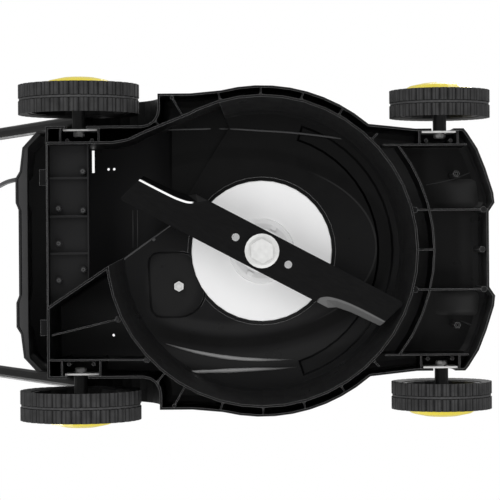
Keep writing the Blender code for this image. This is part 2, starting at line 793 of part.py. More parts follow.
def make_anchor(mower):
    """Nut and stud that clamp the body over the recess."""
    low = ROOF_Z + RECESS_DEPTH - GAP - 0.0065
    nut = turned_over(
        hexagon(NUT_AF, low, ROOF_Z + RECESS_DEPTH - GAP), Matrix.Rotation(math.pi / 6, 4, "Z")
    )
    anchor = piece("anchor_nut", nut, (STEEL, 0.3, 1.0), mower)
    anchor.location = (*NUT_AT, 0)
    stud = cylinder(NUT_AF * 0.25, low - 0.003, DECK_TOP - 0.0005, 12)
    boolean(anchor, "UNION", "stud", [turned_over(stud, Matrix.Translation((*NUT_AT, 0)))])
    return anchor


def make_motor(mower, rotor):
    base = DECK_TOP + GAP
    low = DECK_TOP + STATOR_RISE
    high = low + STACK
    bearing_bore = BEARING_R + GAP
    stator_fit = STATOR_R + GAP
    shelf = STATOR_R - 0.0018

    plate = [
        (bearing_bore, base), (MOTOR_BASE_R, base), (MOTOR_BASE_R, base + 0.005),
        (MOTOR_R, base + 0.005), (MOTOR_R, low + 0.008), (stator_fit, low + 0.008),
        (stator_fit, low - GAP), (shelf, low - GAP), (shelf, base + 0.005),
        (BEARING_R + 0.005, base + 0.005), (BEARING_R + 0.005, base + BEARING_H),
        (bearing_bore, base + BEARING_H),
    ]
    piece("motor_base", turned(plate, MOTOR_STEPS), ((0.55, 0.56, 0.57), 0.4, 1.0), mower)

    stator = [(STATOR_BORE_R, low), (STATOR_R, low), (STATOR_R, high), (STATOR_BORE_R, high)]
    piece("stator_core", turned(stator, MOTOR_STEPS), ((0.30, 0.30, 0.31), 0.5, 1.0), mower)

    winding = [
        (STATOR_BORE_R - 0.003, low - COIL_H), (COIL_R, low - COIL_H), (COIL_R, low - GAP),
        (STATOR_BORE_R - GAP, low - GAP), (STATOR_BORE_R - GAP, high + GAP), (COIL_R, high + GAP),
        (COIL_R, high + COIL_H), (STATOR_BORE_R - 0.003, high + COIL_H),
    ]
    piece("winding", turned(winding, MOTOR_STEPS), ((0.60, 0.27, 0.10), 0.35, 1.0), mower)

    inside = high + COIL_H + 0.002
    top = inside + BEARING_H + 0.002
    cap = [
        (stator_fit, high - 0.008), (MOTOR_R, high - 0.008), (MOTOR_R, inside + 0.004),
        (BEARING_R + 0.005, top), (bearing_bore, top), (bearing_bore, inside),
        (shelf, inside), (shelf, high + GAP), (stator_fit, high + GAP),
    ]
    piece("motor_cap", turned(cap, MOTOR_STEPS), ((0.55, 0.56, 0.57), 0.4, 1.0), mower)

    for name, level in (("lower_bearing", base), ("upper_bearing", inside + 0.001)):
        ring = [
            (SHAFT_R + GAP, level), (BEARING_R, level), (BEARING_R, level + BEARING_H),
            (SHAFT_R + GAP, level + BEARING_H),
        ]
        piece(name, turned(ring, MOTOR_STEPS), (STEEL, 0.25, 1.0), mower)

    core_low, core_high = low + 0.002, high - 0.002
    core = [
        (SHAFT_R + GAP, core_low), (STATOR_BORE_R - 0.0042, core_low),
        (STATOR_BORE_R - 0.0042, core_high), (SHAFT_R + GAP, core_high),
    ]
    piece("rotor_core", turned(core, MOTOR_STEPS), ((0.35, 0.35, 0.36), 0.4, 1.0), rotor)

    shaft_low = BLADE_Z + BLADE_T + 0.028
    shaft = [
        (0, shaft_low), (SHAFT_R - 0.001, shaft_low), (SHAFT_R, shaft_low + 0.001),
        (SHAFT_R, top + 0.002), (SHAFT_R - 0.001, top + 0.003), (0, top + 0.003),
    ]
    piece("motor_shaft", turned(shaft, MOTOR_STEPS), (STEEL, 0.25, 1.0), rotor)

    can = piece(
        "capacitor",
        rounded_top(cylinder(CAPACITOR_R, DECK_TOP + GAP, DECK_TOP + CAPACITOR_H, 20), 0.002, 1),
        ((0.75, 0.75, 0.76), 0.4), mower,
    )
    can.location = (0, MOTOR_BASE_R + CAPACITOR_R + 3 * GAP, 0)


def hood_ring(half, level, puff=HOOD_PUFF, count=20):
    """A rounded square of points at one height."""
    points = []
    for i in range(count):
        angle = 2 * math.pi * i / count
        c, s = math.cos(angle), math.sin(angle)
        reach = (abs(c) ** puff + abs(s) ** puff) ** (-1 / puff)
        points.append(Vector((half * reach * c, half * reach * s, level)))
    return points


def loft(sections):
    bm = bmesh.new()
    rings = [[bm.verts.new(p) for p in section] for section in sections]
    for first, second in zip(rings, rings[1:]):
        for i in range(len(first)):
            j = (i + 1) % len(first)
            bm.faces.new((first[i], first[j], second[j], second[i]))
    bm.faces.new(rings[0])
    bm.faces.new(rings[-1])
    return bm


def make_hood(mower):
    """Moulded cover over the motor, with cooling slots and the lead's outlet."""
    base = DECK_TOP + GAP
    rise = HOOD_TOP - base
    shape = ((0.0, 1.0), (0.38, 0.97), (0.70, 0.88), (0.90, 0.68), (1.0, 0.38))
    outer = [hood_ring(HOOD_R * share, base + rise * up) for up, share in shape]
    inner = [
        hood_ring(HOOD_R * share - HOOD_T, base - 0.001 + (rise - HOOD_T + 0.001) * up)
        for up, share in shape
    ]
    hood = piece("motor_hood", loft(outer), (YELLOW, 0.35), mower)
    wall_x = -HOOD_R * 0.90
    root = Matrix.Translation((wall_x + 0.012, NOZZLE_Y, NOZZLE_Z))
    nozzle = turned(
        [(0, 0), (NOZZLE_R + 0.001, 0), (NOZZLE_R - 0.0015, NOZZLE_OUT + 0.016),
         (0, NOZZLE_OUT + 0.016)], 16
    )
    turned_over(nozzle, root @ Matrix.Rotation(-math.pi / 2, 4, "Y"))
    boolean(hood, "UNION", "nozzle", [nozzle])
    boolean(hood, "DIFFERENCE", "inside", [loft(inner)])
    slots = []
    for i in range(VENTS):
        x = (i - (VENTS - 1) / 2) * VENT_PITCH
        for side in (1, -1):
            low, high = sorted((side * HOOD_R * 0.55, side * (HOOD_R + 0.01)))
            slots.append(
                box((x - VENT_W / 2, low, base + rise * 0.52), (x + VENT_W / 2, high, base + rise * 0.70))
            )
    boolean(hood, "DIFFERENCE", "slots", slots)


def make_rotor(rotor):
    disc_low = ROOF_Z - DISC_PROUD
    disc = [
        (CARRIER_R + GAP, disc_low - COLLAR_H), (COLLAR_R[0] - 0.008, disc_low - COLLAR_H + 0.002),
        (COLLAR_R[0], disc_low - COLLAR_H), (COLLAR_R[1], disc_low - COLLAR_H),
        (COLLAR_R[1] + 0.001, disc_low), (DISC_R - 0.001, disc_low), (DISC_R, disc_low + 0.001),
        (DISC_R, disc_low + DISC_T), (CARRIER_R + GAP, disc_low + DISC_T),
    ]
    fan = piece("spindle_disc", turned(disc, DISC_STEPS), ((0.78, 0.78, 0.78), 0.4), rotor)
    tabs = []
    for side in (1, -1):
        tab = box((-0.003, -0.004, disc_low - COLLAR_H - 0.001), (0.003, 0.004, disc_low))
        across = Matrix.Rotation(BLADE_TURN + math.pi / 2, 4, "Z")
        tabs.append(turned_over(tab, across @ Matrix.Translation((side * 0.036, 0, 0))))
    boolean(fan, "UNION", "tabs", tabs)

    low = BLADE_Z + BLADE_T + GAP
    shaft_low = BLADE_Z + BLADE_T + 0.028
    carrier = [
        (BOLT_R + RUN, low), (CARRIER_R, low), (CARRIER_R, disc_low + DISC_T),
        (SHAFT_R + GAP, disc_low + DISC_T), (SHAFT_R + GAP, shaft_low - GAP),
        (BOLT_R + RUN, shaft_low - GAP),
    ]
    piece("blade_carrier", turned(carrier, 20), ((0.10, 0.10, 0.10), 0.5), rotor)

    flange_low = BLADE_Z - GAP - FLANGE_T
    bolt = [
        (0, flange_low - 0.001), (FLANGE_BOLT_R - 0.004, flange_low - 0.001),
        (FLANGE_BOLT_R, flange_low), (FLANGE_BOLT_R, BLADE_Z - GAP), (BOLT_R, BLADE_Z - GAP),
        (BOLT_R, shaft_low - 0.002), (0, shaft_low - 0.002),
    ]
    screw = piece("blade_bolt", turned(bolt, 24), ((0.72, 0.71, 0.68), 0.3, 1.0), rotor)
    hexa = hexagon(BOLT_HEX_AF, flange_low - BOLT_HEX_T, flange_low)
    boolean(screw, "UNION", "head", [turned_over(hexa, Matrix.Rotation(math.pi / 6, 4, "Z"))])
    make_blade(rotor)


def blade_arm(bm, flip):
    """One arm: the flat part and the wing that curls up along its trailing edge."""
    tip = BLADE_R - 0.011
    bend = [
        Vector((WING_START, BLADE_HALF_W, 0)),
        Vector((WING_START + 0.0075, BLADE_HALF_W * 0.55, 0)),
        Vector((WING_START + 0.019, WING_BEND_Y + 0.0045, 0)),
        Vector((WING_START + 0.043, WING_BEND_Y + 0.001, 0)),
        Vector((tip, WING_BEND_Y, 0)),
    ]
    edge = [
        bend[0],
        Vector((WING_START + 0.0185, BLADE_HALF_W, WING_RISE * 0.5)),
        Vector((WING_START + 0.029, WING_BEND_Y + WING_OUT + 0.005, WING_RISE)),
        Vector((WING_START + 0.049, WING_BEND_Y + WING_OUT + 0.002, WING_RISE)),
        Vector((tip - 0.003, WING_BEND_Y + WING_OUT, WING_RISE)),
    ]
    curl = [a.lerp(b, WING_CURL) for a, b in zip(bend, edge)]
    for point in curl:
        point.z *= WING_CURL
    flat = [
        Vector((0, -BLADE_HALF_W, 0)), Vector((BLADE_R - 0.003, -BLADE_HALF_W, 0)),
        Vector((BLADE_R, -BLADE_HALF_W + 0.003, 0)), *reversed(bend), Vector((0, BLADE_HALF_W, 0)),
    ]
    faces = [flat]
    for i in range(len(bend) - 1):
        faces.append([bend[i], curl[i], curl[i + 1], bend[i + 1]])
        faces.append([curl[i], edge[i], edge[i + 1], curl[i + 1]])
    turn = Matrix.Rotation(math.pi * flip, 4, "Z")
    for corners in faces:
        bm.faces.new([bm.verts.new(turn @ corner) for corner in corners])


def make_blade(rotor):
    bm = bmesh.new()
    blade_arm(bm, 0)
    blade_arm(bm, 1)
    bmesh.ops.remove_doubles(bm, verts=bm.verts, dist=0.00001)
    blade = piece("blade", bm, (BLACK, 0.35, 0.3), rotor)
    for face in blade.data.polygons:
        if face.normal.z < 0:
            face.flip()
    thick = blade.modifiers.new("thickness", "SOLIDIFY")
    thick.thickness = BLADE_T
    thick.offset = 1.0
    thick.use_even_offset = True
    blade.location = (0, 0, BLADE_Z)
    blade.rotation_euler = (0, 0, BLADE_TURN)
    turn = Matrix.Translation((0, 0, BLADE_Z)) @ Matrix.Rotation(BLADE_TURN, 4, "Z")
    cuts = [cylinder(BOLT_R + RUN, -0.01, 0.02, 16)]
    for side in (1, -1):
        cuts.append(cylinder(BLADE_HOLE_R, -0.01, 0.02, 12, (side * BLADE_HOLE_X, 0)))
        edge = [
            (-BLADE_HALF_W - 0.001, -0.001), (-BLADE_HALF_W + 0.0045, 0.008),
            (-BLADE_HALF_W - 0.001, 0.008),
        ]
        wedge = prism(edge, 0.122, 0.222)
        upright = Matrix(((0, 0, 1, 0), (1, 0, 0, 0), (0, 1, 0, 0), (0, 0, 0, 1)))
        half = Matrix.Rotation(0 if side == 1 else math.pi, 4, "Z")
        cuts.append(turned_over(wedge, half @ upright))
    for cut in cuts:
        turned_over(cut, turn)
    boolean(blade, "DIFFERENCE", "holes", cuts)


def tyre_mesh(radius, width, bead):
    """A tyre along Z with two bands of lugs, parted by notches and by a groove round the middle."""
    bm = bmesh.new()
    root = radius - LUG_DEPTH
    pitch = 2 * math.pi / LUGS

    def ring(level, spots):
        return [bm.verts.new((r * math.cos(a), r * math.sin(a), level)) for r, a in spots]

    def strip(low, high):
        for k in range(len(low)):
            j = (k + 1) % len(low)
            bm.faces.new((low[k], low[j], high[j], high[k]))

    tread = []
    for i in range(LUGS):
        tread += [(root, i * pitch), (radius, (i + 0.22) * pitch), (radius, (i + 0.78) * pitch)]
    half = width / 2
    rings = [ring(level, tread) for level in (-half, -GROOVE_W / 2, GROOVE_W / 2, half)]
    strip(rings[0], rings[1])
    strip(rings[2], rings[3])
    for r in rings:
        for i in range(LUGS):
            bm.faces.new((r[3 * i], r[3 * i + 1], r[3 * i + 2], r[(3 * i + 3) % len(r)]))
    feet = [r[0::3] for r in rings]
    beads = [ring(level, [(bead, i * pitch) for i in range(LUGS)])
             for level in (-half + 0.002, half - 0.002)]
    strip(feet[1], feet[2])
    strip(beads[0], feet[0])
    strip(feet[3], beads[1])
    strip(beads[1], beads[0])
    return bm


def make_wheel(name, axle_x, radius, width, wall_y, side_gap, side, mower):
    """One wheel with its axle, sleeve and plate. Each shape is built along Z, outwards."""
    axle = empty(f"{name}_axle_slide", (axle_x, 0, radius), mower)
    inner_face = wall_y + side_gap
    middle = inner_face + width / 2
    wheel = empty(f"{name}_wheel_spin", (0, side * middle, 0), axle)
    half = width / 2

    rim_r = radius - LUG_DEPTH - TYRE_T
    bead = (rim_r + GAP) / math.cos(math.pi / LUGS)
    tyre = tyre_mesh(radius, width, bead)
    piece(f"{name}_tyre", sideways(tyre, side=side), (DARK, 0.75), wheel)

    face = half - 0.004
    web = face - 0.010
    hub_in = -half + 0.006
    rim = [
        (rim_r, -half + 0.003), (rim_r, face), (AXLE_R + RUN, face), (AXLE_R + RUN, hub_in),
        (HUB_R, hub_in), (HUB_R + 0.002, web - 0.003), (rim_r - RIM_WALL - 0.006, web),
        (rim_r - RIM_WALL, -half + 0.003),
    ]
    hub = piece(f"{name}_rim", sideways(turned(rim, 16), side=side), (BLACK, 0.5), wheel)
    spokes = []
    reach = (HUB_R - 0.003, rim_r - RIM_WALL + 0.001)
    for i in range(RIM_SPOKES):
        spoke = box((reach[0], -0.0015, -half + 0.016), (reach[1], 0.0015, web + 0.002))
        turn = Matrix.Rotation(2 * math.pi * (i + 0.5) / RIM_SPOKES, 4, "Z")
        spokes.append(sideways(turned_over(spoke, turn), side=side))
    boolean(hub, "UNION", "spokes", spokes)

    cap_in = face + GAP
    cap = [
        (0, half + CAP_OUT), (CAP_R * 0.45, half + CAP_OUT * 0.90),
        (CAP_R * 0.80, half + CAP_OUT * 0.56), (CAP_R, half), (CAP_R, cap_in), (0.012, cap_in),
        (0.012, cap_in + 0.007), (0, cap_in + 0.007),
    ]
    piece(f"{name}_hub_cap", sideways(turned(cap, 18), side=side), (YELLOW, 0.3), wheel)

    plate_y = wall_y - WALL - GAP
    head_y = plate_y - PLATE_T - GAP
    bolt = [
        (0, head_y - BOLT_HEAD_T), (BOLT_HEAD_R - 0.0015, head_y - BOLT_HEAD_T),
        (BOLT_HEAD_R, head_y - BOLT_HEAD_T + 0.0015), (BOLT_HEAD_R, head_y), (AXLE_R, head_y),
        (AXLE_R, middle + face + GAP), (0.0085, middle + face + GAP), (0.0085, middle + face + 0.005),
        (0, middle + face + 0.005),
    ]
    piece(f"{name}_axle_bolt", sideways(turned(bolt, 8), side=side), (STEEL, 0.3, 1.0), axle)
    sleeve = [
        (AXLE_R + RUN, plate_y + GAP), (SLEEVE_R, plate_y + GAP), (SLEEVE_R, middle + hub_in - GAP),
        (AXLE_R + RUN, middle + hub_in - GAP),
    ]
    piece(f"{name}_axle_sleeve", sideways(turned(sleeve, 12), side=side), (BLACK, 0.5), axle)
    make_axle_plate(name, axle_x, radius, plate_y, side, mower)


def make_axle_plate(name, axle_x, radius, plate_y, side, mower):
    """Spring plate with one notch for each cutting height, open for the axle bolt to slide."""
    low, high = sorted((side * (plate_y - PLATE_T), side * plate_y))
    middle = axle_x - math.copysign(POCKET_SHIFT, axle_x)
    blank = box((middle - PLATE_HALF, low, radius - AXLE_TRAVEL - PLATE_UNDER),
                (middle + PLATE_HALF, high, radius + PLATE_OVER))
    plate = piece(f"{name}_axle_plate", blank, (STEEL, 0.3, 1.0), mower)
    reach = AXLE_R + RUN
    outline = arc((0, 0), reach, 0, 180, 6) + arc((0, -AXLE_TRAVEL), reach, 180, 360, 6)
    slot = prism(outline, -0.006, 0.006)
    cuts = [slot]
    for i in range(HEIGHTS):
        level = -AXLE_TRAVEL * i / (HEIGHTS - 1)
        cuts.append(cylinder(reach * 0.8, -0.006, 0.006, 8, (reach * 0.9, level)))
    upright = Matrix.Rotation(math.pi / 2, 4, "X")
    for cut in cuts:
        turned_over(cut, Matrix.Translation((axle_x, side * plate_y, radius)) @ upright)
    boolean(plate, "DIFFERENCE", "slot", cuts)


def flap_outline():
    half = [
        (FLAP_BACK_X, 0.060), (FLAP_BACK_X - FLAP_BUMP, 0.070), (FLAP_BACK_X - FLAP_BUMP, 0.104),
        (FLAP_BACK_X + 0.002, 0.114), (FLAP_BACK_X + 0.006, 0.147), (HINGE_X - 0.008, FLAP_SIDE_Y),
        (HINGE_X + 0.004, FLAP_SIDE_Y),
    ]
    return mirrored(half)


def make_flap(mower):
    """Flap that covers the tunnel's rear opening, hung on a pin at its top edge."""
    hinge = empty("flap_hinge", (HINGE_X, 0, HINGE_Z), mower)
    top = HINGE_Z + KNUCKLE_R
    shift = Matrix.Translation((-HINGE_X, 0, -HINGE_Z))
    shell = turned_over(prism(flap_outline(), FLAP_BOTTOM, top), shift)
    flap = piece("rear_flap", shell, (BLACK, 0.45), hinge)
    inner = offset(flap_outline(), -FLAP_T)
    front = [(HINGE_X + 0.02, y) if x > HINGE_X else (x, y) for x, y in inner]
    hollow = turned_over(prism(front, 0.02, top - FLAP_T), shift)
    clear = box(
        (HINGE_X - KNUCKLE_R - 0.0015, -0.3, HINGE_Z - 0.03), (HINGE_X + 0.03, 0.3, top + 0.01)
    )
    turned_over(clear, shift)
    boolean(flap, "DIFFERENCE", "inside", [hollow, clear])
    knuckles = []
    for side in (1, -1):
        low, high = sorted((side * (FLAP_SIDE_Y - 0.004 + GAP), side * FLAP_SIDE_Y))
        knuckles.append(sideways(cylinder(KNUCKLE_R, low, high, 16)))
        knuckles.append(
            box((-KNUCKLE_R - 0.006, low, -KNUCKLE_R), (0, high, KNUCKLE_R * 0.98))
        )
    low, high = -(FLAP_SIDE_Y - 0.012 - GAP), FLAP_SIDE_Y - 0.012 - GAP
    knuckles.append(sideways(cylinder(KNUCKLE_R, low, high, 16)))
    knuckles.append(box((-KNUCKLE_R - 0.006, low, KNUCKLE_R - FLAP_T), (0, high, KNUCKLE_R * 0.98)))
    boolean(flap, "UNION", "knuckles", knuckles)
    boolean(flap, "DIFFERENCE", "bore", [sideways(cylinder(PIN_R + RUN, -0.2, 0.2, 12))])
    rod = sideways(cylinder(PIN_R, -FLAP_SIDE_Y, FLAP_SIDE_Y, 12))
    pin = piece("flap_pin", rod, (STEEL, 0.3, 1.0), mower)
    pin.location = (HINGE_X, 0, HINGE_Z)


def tube_y(up):
    """Half width between the lower tubes' middles, at a distance up from their lower ends."""
    return BASE_Y - (BASE_Y - FOLD_Y) * up / LOWER_L


def make_lower_handle(mower):
    base = empty("handle_base", (HANDLE_AT[0], 0, HANDLE_AT[1]), mower, HANDLE_LEAN)
    lean = Matrix.Rotation(-HANDLE_LEAN, 4, "Y")
    for side, name in ((1, "left"), (-1, "right")):
        path = [(0, side * BASE_Y, 0), (0, side * FOLD_Y, LOWER_L)]
        lower = piece(f"lower_tube_{name}", tube(path, TUBE_R, TUBE_T, 12), (BLACK, 0.4, 0.2), base)
        stud_y = tube_y(STUD_AT)
        holes = []
        for radius, y, up in ((STUD_R, stud_y, STUD_AT), (PIVOT_R, FOLD_Y, LOWER_L - FOLD_IN)):
            holes.append(sideways(cylinder(radius + RUN, y - 0.02, y + 0.02, 12), (0, 0, up), side))
        boolean(lower, "DIFFERENCE", "holes", holes)

        stud = Vector((HANDLE_AT[0], 0, HANDLE_AT[1])) + lean @ Vector((0, 0, STUD_AT))
        plate = [
            (stud.x + 0.036, stud.z - 0.036), (stud.x + 0.036, stud.z - 0.006),
            (stud.x + 0.012, stud.z + 0.012), (stud.x - 0.012, stud.z + 0.014),
            (stud.x - 0.020, stud.z), (stud.x - 0.016, stud.z - 0.036),
        ]
        near = SIDE_Y + GAP
        far = tube_y(BRACKET_REACH) - TUBE_R - GAP
        bracket_bm = turned_over(
            prism(plate, -side * near, -side * far), Matrix.Rotation(math.pi / 2, 4, "X")
        )
        bracket = piece(f"handle_bracket_{name}", bracket_bm, (BLACK, 0.45), mower)
        outer = stud_y + TUBE_R + GAP
        post = [
            (0, far - BURY), (STUD_R, far - BURY), (STUD_R, outer),
            (0.008, outer), (0.008, outer + 0.003), (0.004, outer + 0.006), (0, outer + 0.006),
        ]
        boolean(bracket, "UNION", "stud", [sideways(turned(post, 12), (stud.x, 0, stud.z), side)])
    return base


def leg_y(up):
    """Half width between the upper handle's legs, at a distance up from the pivot."""
    low = FOLD_Y - 2 * TUBE_R - 3 * GAP
    return low - (low - UPPER_TOP_Y) * (up + FOLD_IN) / (UPPER_L - UPPER_ROUND + FOLD_IN)


def upper_path():
    """The U of the upper handle: up one leg, across the top and down the other."""
    corner = UPPER_ROUND
    top = UPPER_L
    right = [(0, -leg_y(-FOLD_IN), -FOLD_IN)]
    turn = [(0, -UPPER_TOP_Y + corner * (1 - math.cos(a)), top - corner * (1 - math.sin(a)))
            for a in [math.pi / 2 * k / 4 for k in range(5)]]
    left = [(x, -y, z) for x, y, z in reversed([right[0]] + turn)]
    return [right[0]] + turn + left


def make_upper_handle(base):
    fold = empty("handle_fold", (0, 0, LOWER_L - FOLD_IN), base)
    upper = piece("upper_handle", tube(upper_path(), TUBE_R, TUBE_T, 8), (BLACK, 0.4, 0.2), fold)
    holes = [sideways(cylinder(PIVOT_R + RUN, -0.2, 0.2, 12))]
    boolean(upper, "DIFFERENCE", "pivot_holes", holes)

    out = TUBE_R + GRIP_T
    grip = [
        (TUBE_R + GAP, GRIP_Y[0]), (out - 0.001, GRIP_Y[0]), (out, GRIP_Y[0] + 0.002),
        (out, GRIP_Y[1] - 0.002), (out - 0.001, GRIP_Y[1]), (TUBE_R + GAP, GRIP_Y[1]),
    ]
    foam = piece("grip", sideways(turned(grip, 16)), (DARK, 0.9), fold)
    foam.location = (0, 0, UPPER_L)

    for side, name in ((1, "left"), (-1, "right")):
        head = leg_y(0) - TUBE_R - 2 * GAP
        end = FOLD_Y + TUBE_R
        bolt = [
            (0, head - PIVOT_HEAD_T), (PIVOT_HEAD_R * 0.6, head - PIVOT_HEAD_T),
            (PIVOT_HEAD_R, head - PIVOT_HEAD_T * 0.4), (PIVOT_HEAD_R, head), (PIVOT_R, head),
            (PIVOT_R, end + KNOB_L - 0.006), (0, end + KNOB_L - 0.006),
        ]
        turning = sideways(turned(bolt, 12), side=side)
        pivot = piece(f"pivot_bolt_{name}", turning, (STEEL, 0.3, 1.0), base)
        pivot.location = (0, 0, LOWER_L - FOLD_IN)
        make_knob(name, side, end + GAP + 0.0006, base)
    return fold


def make_knob(name, side, seat, base):
    """Clamp knob with two wings, on the bolt's outer end."""
    turn = empty(f"knob_{name}_turn", (0, 0, LOWER_L - FOLD_IN), base)
    barrel = [
        (PIVOT_R + RUN, seat), (KNOB_R, seat), (KNOB_R - 0.002, seat + KNOB_L), (0, seat + KNOB_L),
        (0, seat + KNOB_L - 0.004), (PIVOT_R + RUN, seat + KNOB_L - 0.004),
    ]
    knob = piece(f"knob_{name}", sideways(turned(barrel, 16), side=side), (BLACK, 0.5), turn)
    wings = []
    for way in (1, -1):
        outline = [
            (way * (KNOB_R - 0.004), seat + 0.006), (way * KNOB_WING, seat + 0.010),
            (way * (KNOB_WING + 0.001), seat + KNOB_L + 0.002),
            (way * (KNOB_R - 0.004), seat + KNOB_L - 0.002),
        ]
        wing = turned_over(prism(outline, -0.003, 0.003), Matrix.Rotation(math.pi / 2, 4, "X"))
        wings.append(sideways(wing, side=side))
    boolean(knob, "UNION", "wings", wings)


def rounded_rectangle(half_a, half_b, radius, steps=3):
    points = []
    for sa, sb, start in ((1, 1, 0), (-1, 1, 90), (-1, -1, 180), (1, -1, 270)):
        centre = (sa * (half_a - radius), sb * (half_b - radius))
        points += arc(centre, radius, start, start + 90, steps)
    return points


def on_bar(bm):
    """Places a shape drawn in the box's face plane, with its depth towards the front."""
    centre = Matrix.Translation((0, BOX_Y, UPPER_L - BOX_DROP))
    return turned_over(bm, centre @ Matrix(((0, 0, 1, 0), (1, 0, 0, 0), (0, 1, 0, 0), (0, 0, 0, 1))))


def make_switch_box(fold):
    """Two shells round the bar that hold the power switch and carry the lever's stub."""
    outline = rounded_rectangle(BOX_HALF_Y, BOX_HALF_Z, BOX_ROUND)
    inside = offset(outline, -BOX_T)
    split = GAP / 2
    underside = UPPER_L - BOX_DROP - BOX_HALF_Z

    blank = rounded_top(prism(outline, split, BOX_DEEP), 0.006, 2)
    cover = piece("switch_cover", on_bar(blank), (BLACK, 0.45), fold)
    boolean(cover, "DIFFERENCE", "inside", [
        on_bar(prism(inside, -0.001, BOX_DEEP - BOX_T)),
        bar_bore(),
        on_bar(cylinder(BUTTON_R + RUN, BOX_DEEP - 0.008, BOX_DEEP + 0.01, 16, BUTTON_AT)),
    ])

    blank = prism(outline, -BOX_DEEP, -split)
    tray = piece("switch_base", on_bar(blank), (BLACK, 0.45), fold)
    relief = turned(
        [(0, 0.001), (RELIEF_R, 0.001), (RELIEF_R - 0.002, -RELIEF_L), (0, -RELIEF_L)], 12
    )
    boolean(tray, "UNION", "relief", [
        turned_over(relief, Matrix.Translation((LEAD_X, BOX_Y - RELIEF_Y, underside)))
    ])
    stub = sideways(
        cylinder(LEVER_PIN_R + RUN, 0, 0.03, 12),
        (LEVER_X, BOX_Y + BOX_HALF_Y - 0.02, UPPER_L - LEVER_DROP),
    )
    boolean(tray, "DIFFERENCE", "inside", [
        on_bar(prism(inside, -BOX_DEEP + BOX_T, 0.001)), bar_bore(), stub,
    ])

    floor = -BOX_DEEP + BOX_T + GAP
    switch = box(
        (floor, BOX_Y - 0.036, underside + BOX_T + 0.004),
        (floor + 0.019, BOX_Y - 0.008, UPPER_L - 0.016),
    )
    piece("power_switch", switch, ((0.08, 0.08, 0.08), 0.5), fold)
    make_inlet(fold, underside)


def bar_bore():
    return sideways(cylinder(TUBE_R + GAP, -0.3, 0.3, 20), (0, 0, UPPER_L))


def make_inlet(fold, underside):
    """Shrouded two-pin inlet that faces down, under the box."""
    half_y, half_x = INLET_HALF
    at = Matrix.Translation((0, BOX_Y + INLET_Y, underside - GAP))
    outer = prism(rounded_rectangle(half_x, half_y, 0.004, 2), -INLET_OUT, 0)
    inlet = piece("mains_inlet", turned_over(outer, at), (BLACK, 0.45), fold)
    flange = prism(rounded_rectangle(half_x + 0.003, half_y + 0.003, 0.004, 2), -0.002, 0)
    boolean(inlet, "UNION", "flange", [turned_over(flange, at)])
    mouth = rounded_rectangle(half_x - 0.002, half_y - 0.002, 0.002, 2)
    inner = prism(mouth, -INLET_OUT - 0.001, -0.003)
    boolean(inlet, "DIFFERENCE", "inside", [turned_over(inner, at)])
    pins = []
    for side in (1, -1):
        pin = cylinder(0.002, -INLET_OUT + 0.004, -0.002, 8, (0, side * 0.006))
        pins.append(turned_over(pin, at))
    boolean(inlet, "UNION", "pins", pins)


def make_start_lever(fold):
    """Lever under the grip, on a stub that runs in the box's side."""
    turn = empty("start_lever_turn", (LEVER_X, 0, UPPER_L - LEVER_DROP), fold)
    near = BOX_Y + BOX_HALF_Y + 0.0006
    hub = 0.007
    blade = arc((0, 0), hub, -150, 90, 8) + [
        (-LEVER_REACH * 0.6, 0.012), (-LEVER_REACH, 0.018), (-LEVER_REACH - 0.004, 0.014),
        (-LEVER_REACH * 0.6, 0.004),
    ]
    bm = prism(blade, -(near + LEVER_L), -near)
    lever = piece(
        "start_lever", turned_over(bm, Matrix.Rotation(math.pi / 2, 4, "X")), (YELLOW, 0.4), turn
    )
    stub = sideways(cylinder(LEVER_PIN_R, near - 0.012, near + 0.001, 12))
    boolean(lever, "UNION", "stub", [stub])


def make_lock_button(fold):
    y = BOX_Y + BUTTON_AT[0]
    z = UPPER_L - BOX_DROP + BUTTON_AT[1]
    slide = empty("lock_button_slide", (BOX_DEEP, y, z), fold)
    under = -BOX_T - GAP
    profile = [
        (0, under - 0.007), (BUTTON_R - 0.002, under - 0.007), (BUTTON_R - 0.002, under - 0.002),
        (BUTTON_R + 0.0015, under - 0.002), (BUTTON_R + 0.0015, under), (BUTTON_R, under),
        (BUTTON_R, 0.005), (BUTTON_R - 0.0015, 0.0065), (0, 0.0065),
    ]
    button = turned_over(turned(profile, 12), Matrix.Rotation(math.pi / 2, 4, "Y"))
    piece("lock_button", button, (YELLOW, 0.4), slide)


def along_handle(x, y, z):
    """A point given in the upper handle's frame, in the mower's frame."""
    lean = Matrix.Rotation(-HANDLE_LEAN, 4, "Y")
    base = Vector((HANDLE_AT[0], 0, HANDLE_AT[1]))
    return base + lean @ Vector((x, y, z + LOWER_L - FOLD_IN))


def beside_leg(up, off):
    """A point of the lead, which lies against the right leg's inner side or off it."""
    return along_handle(0, -leg_y(up) + TUBE_R + LEAD_R + 0.0008 + off, up)


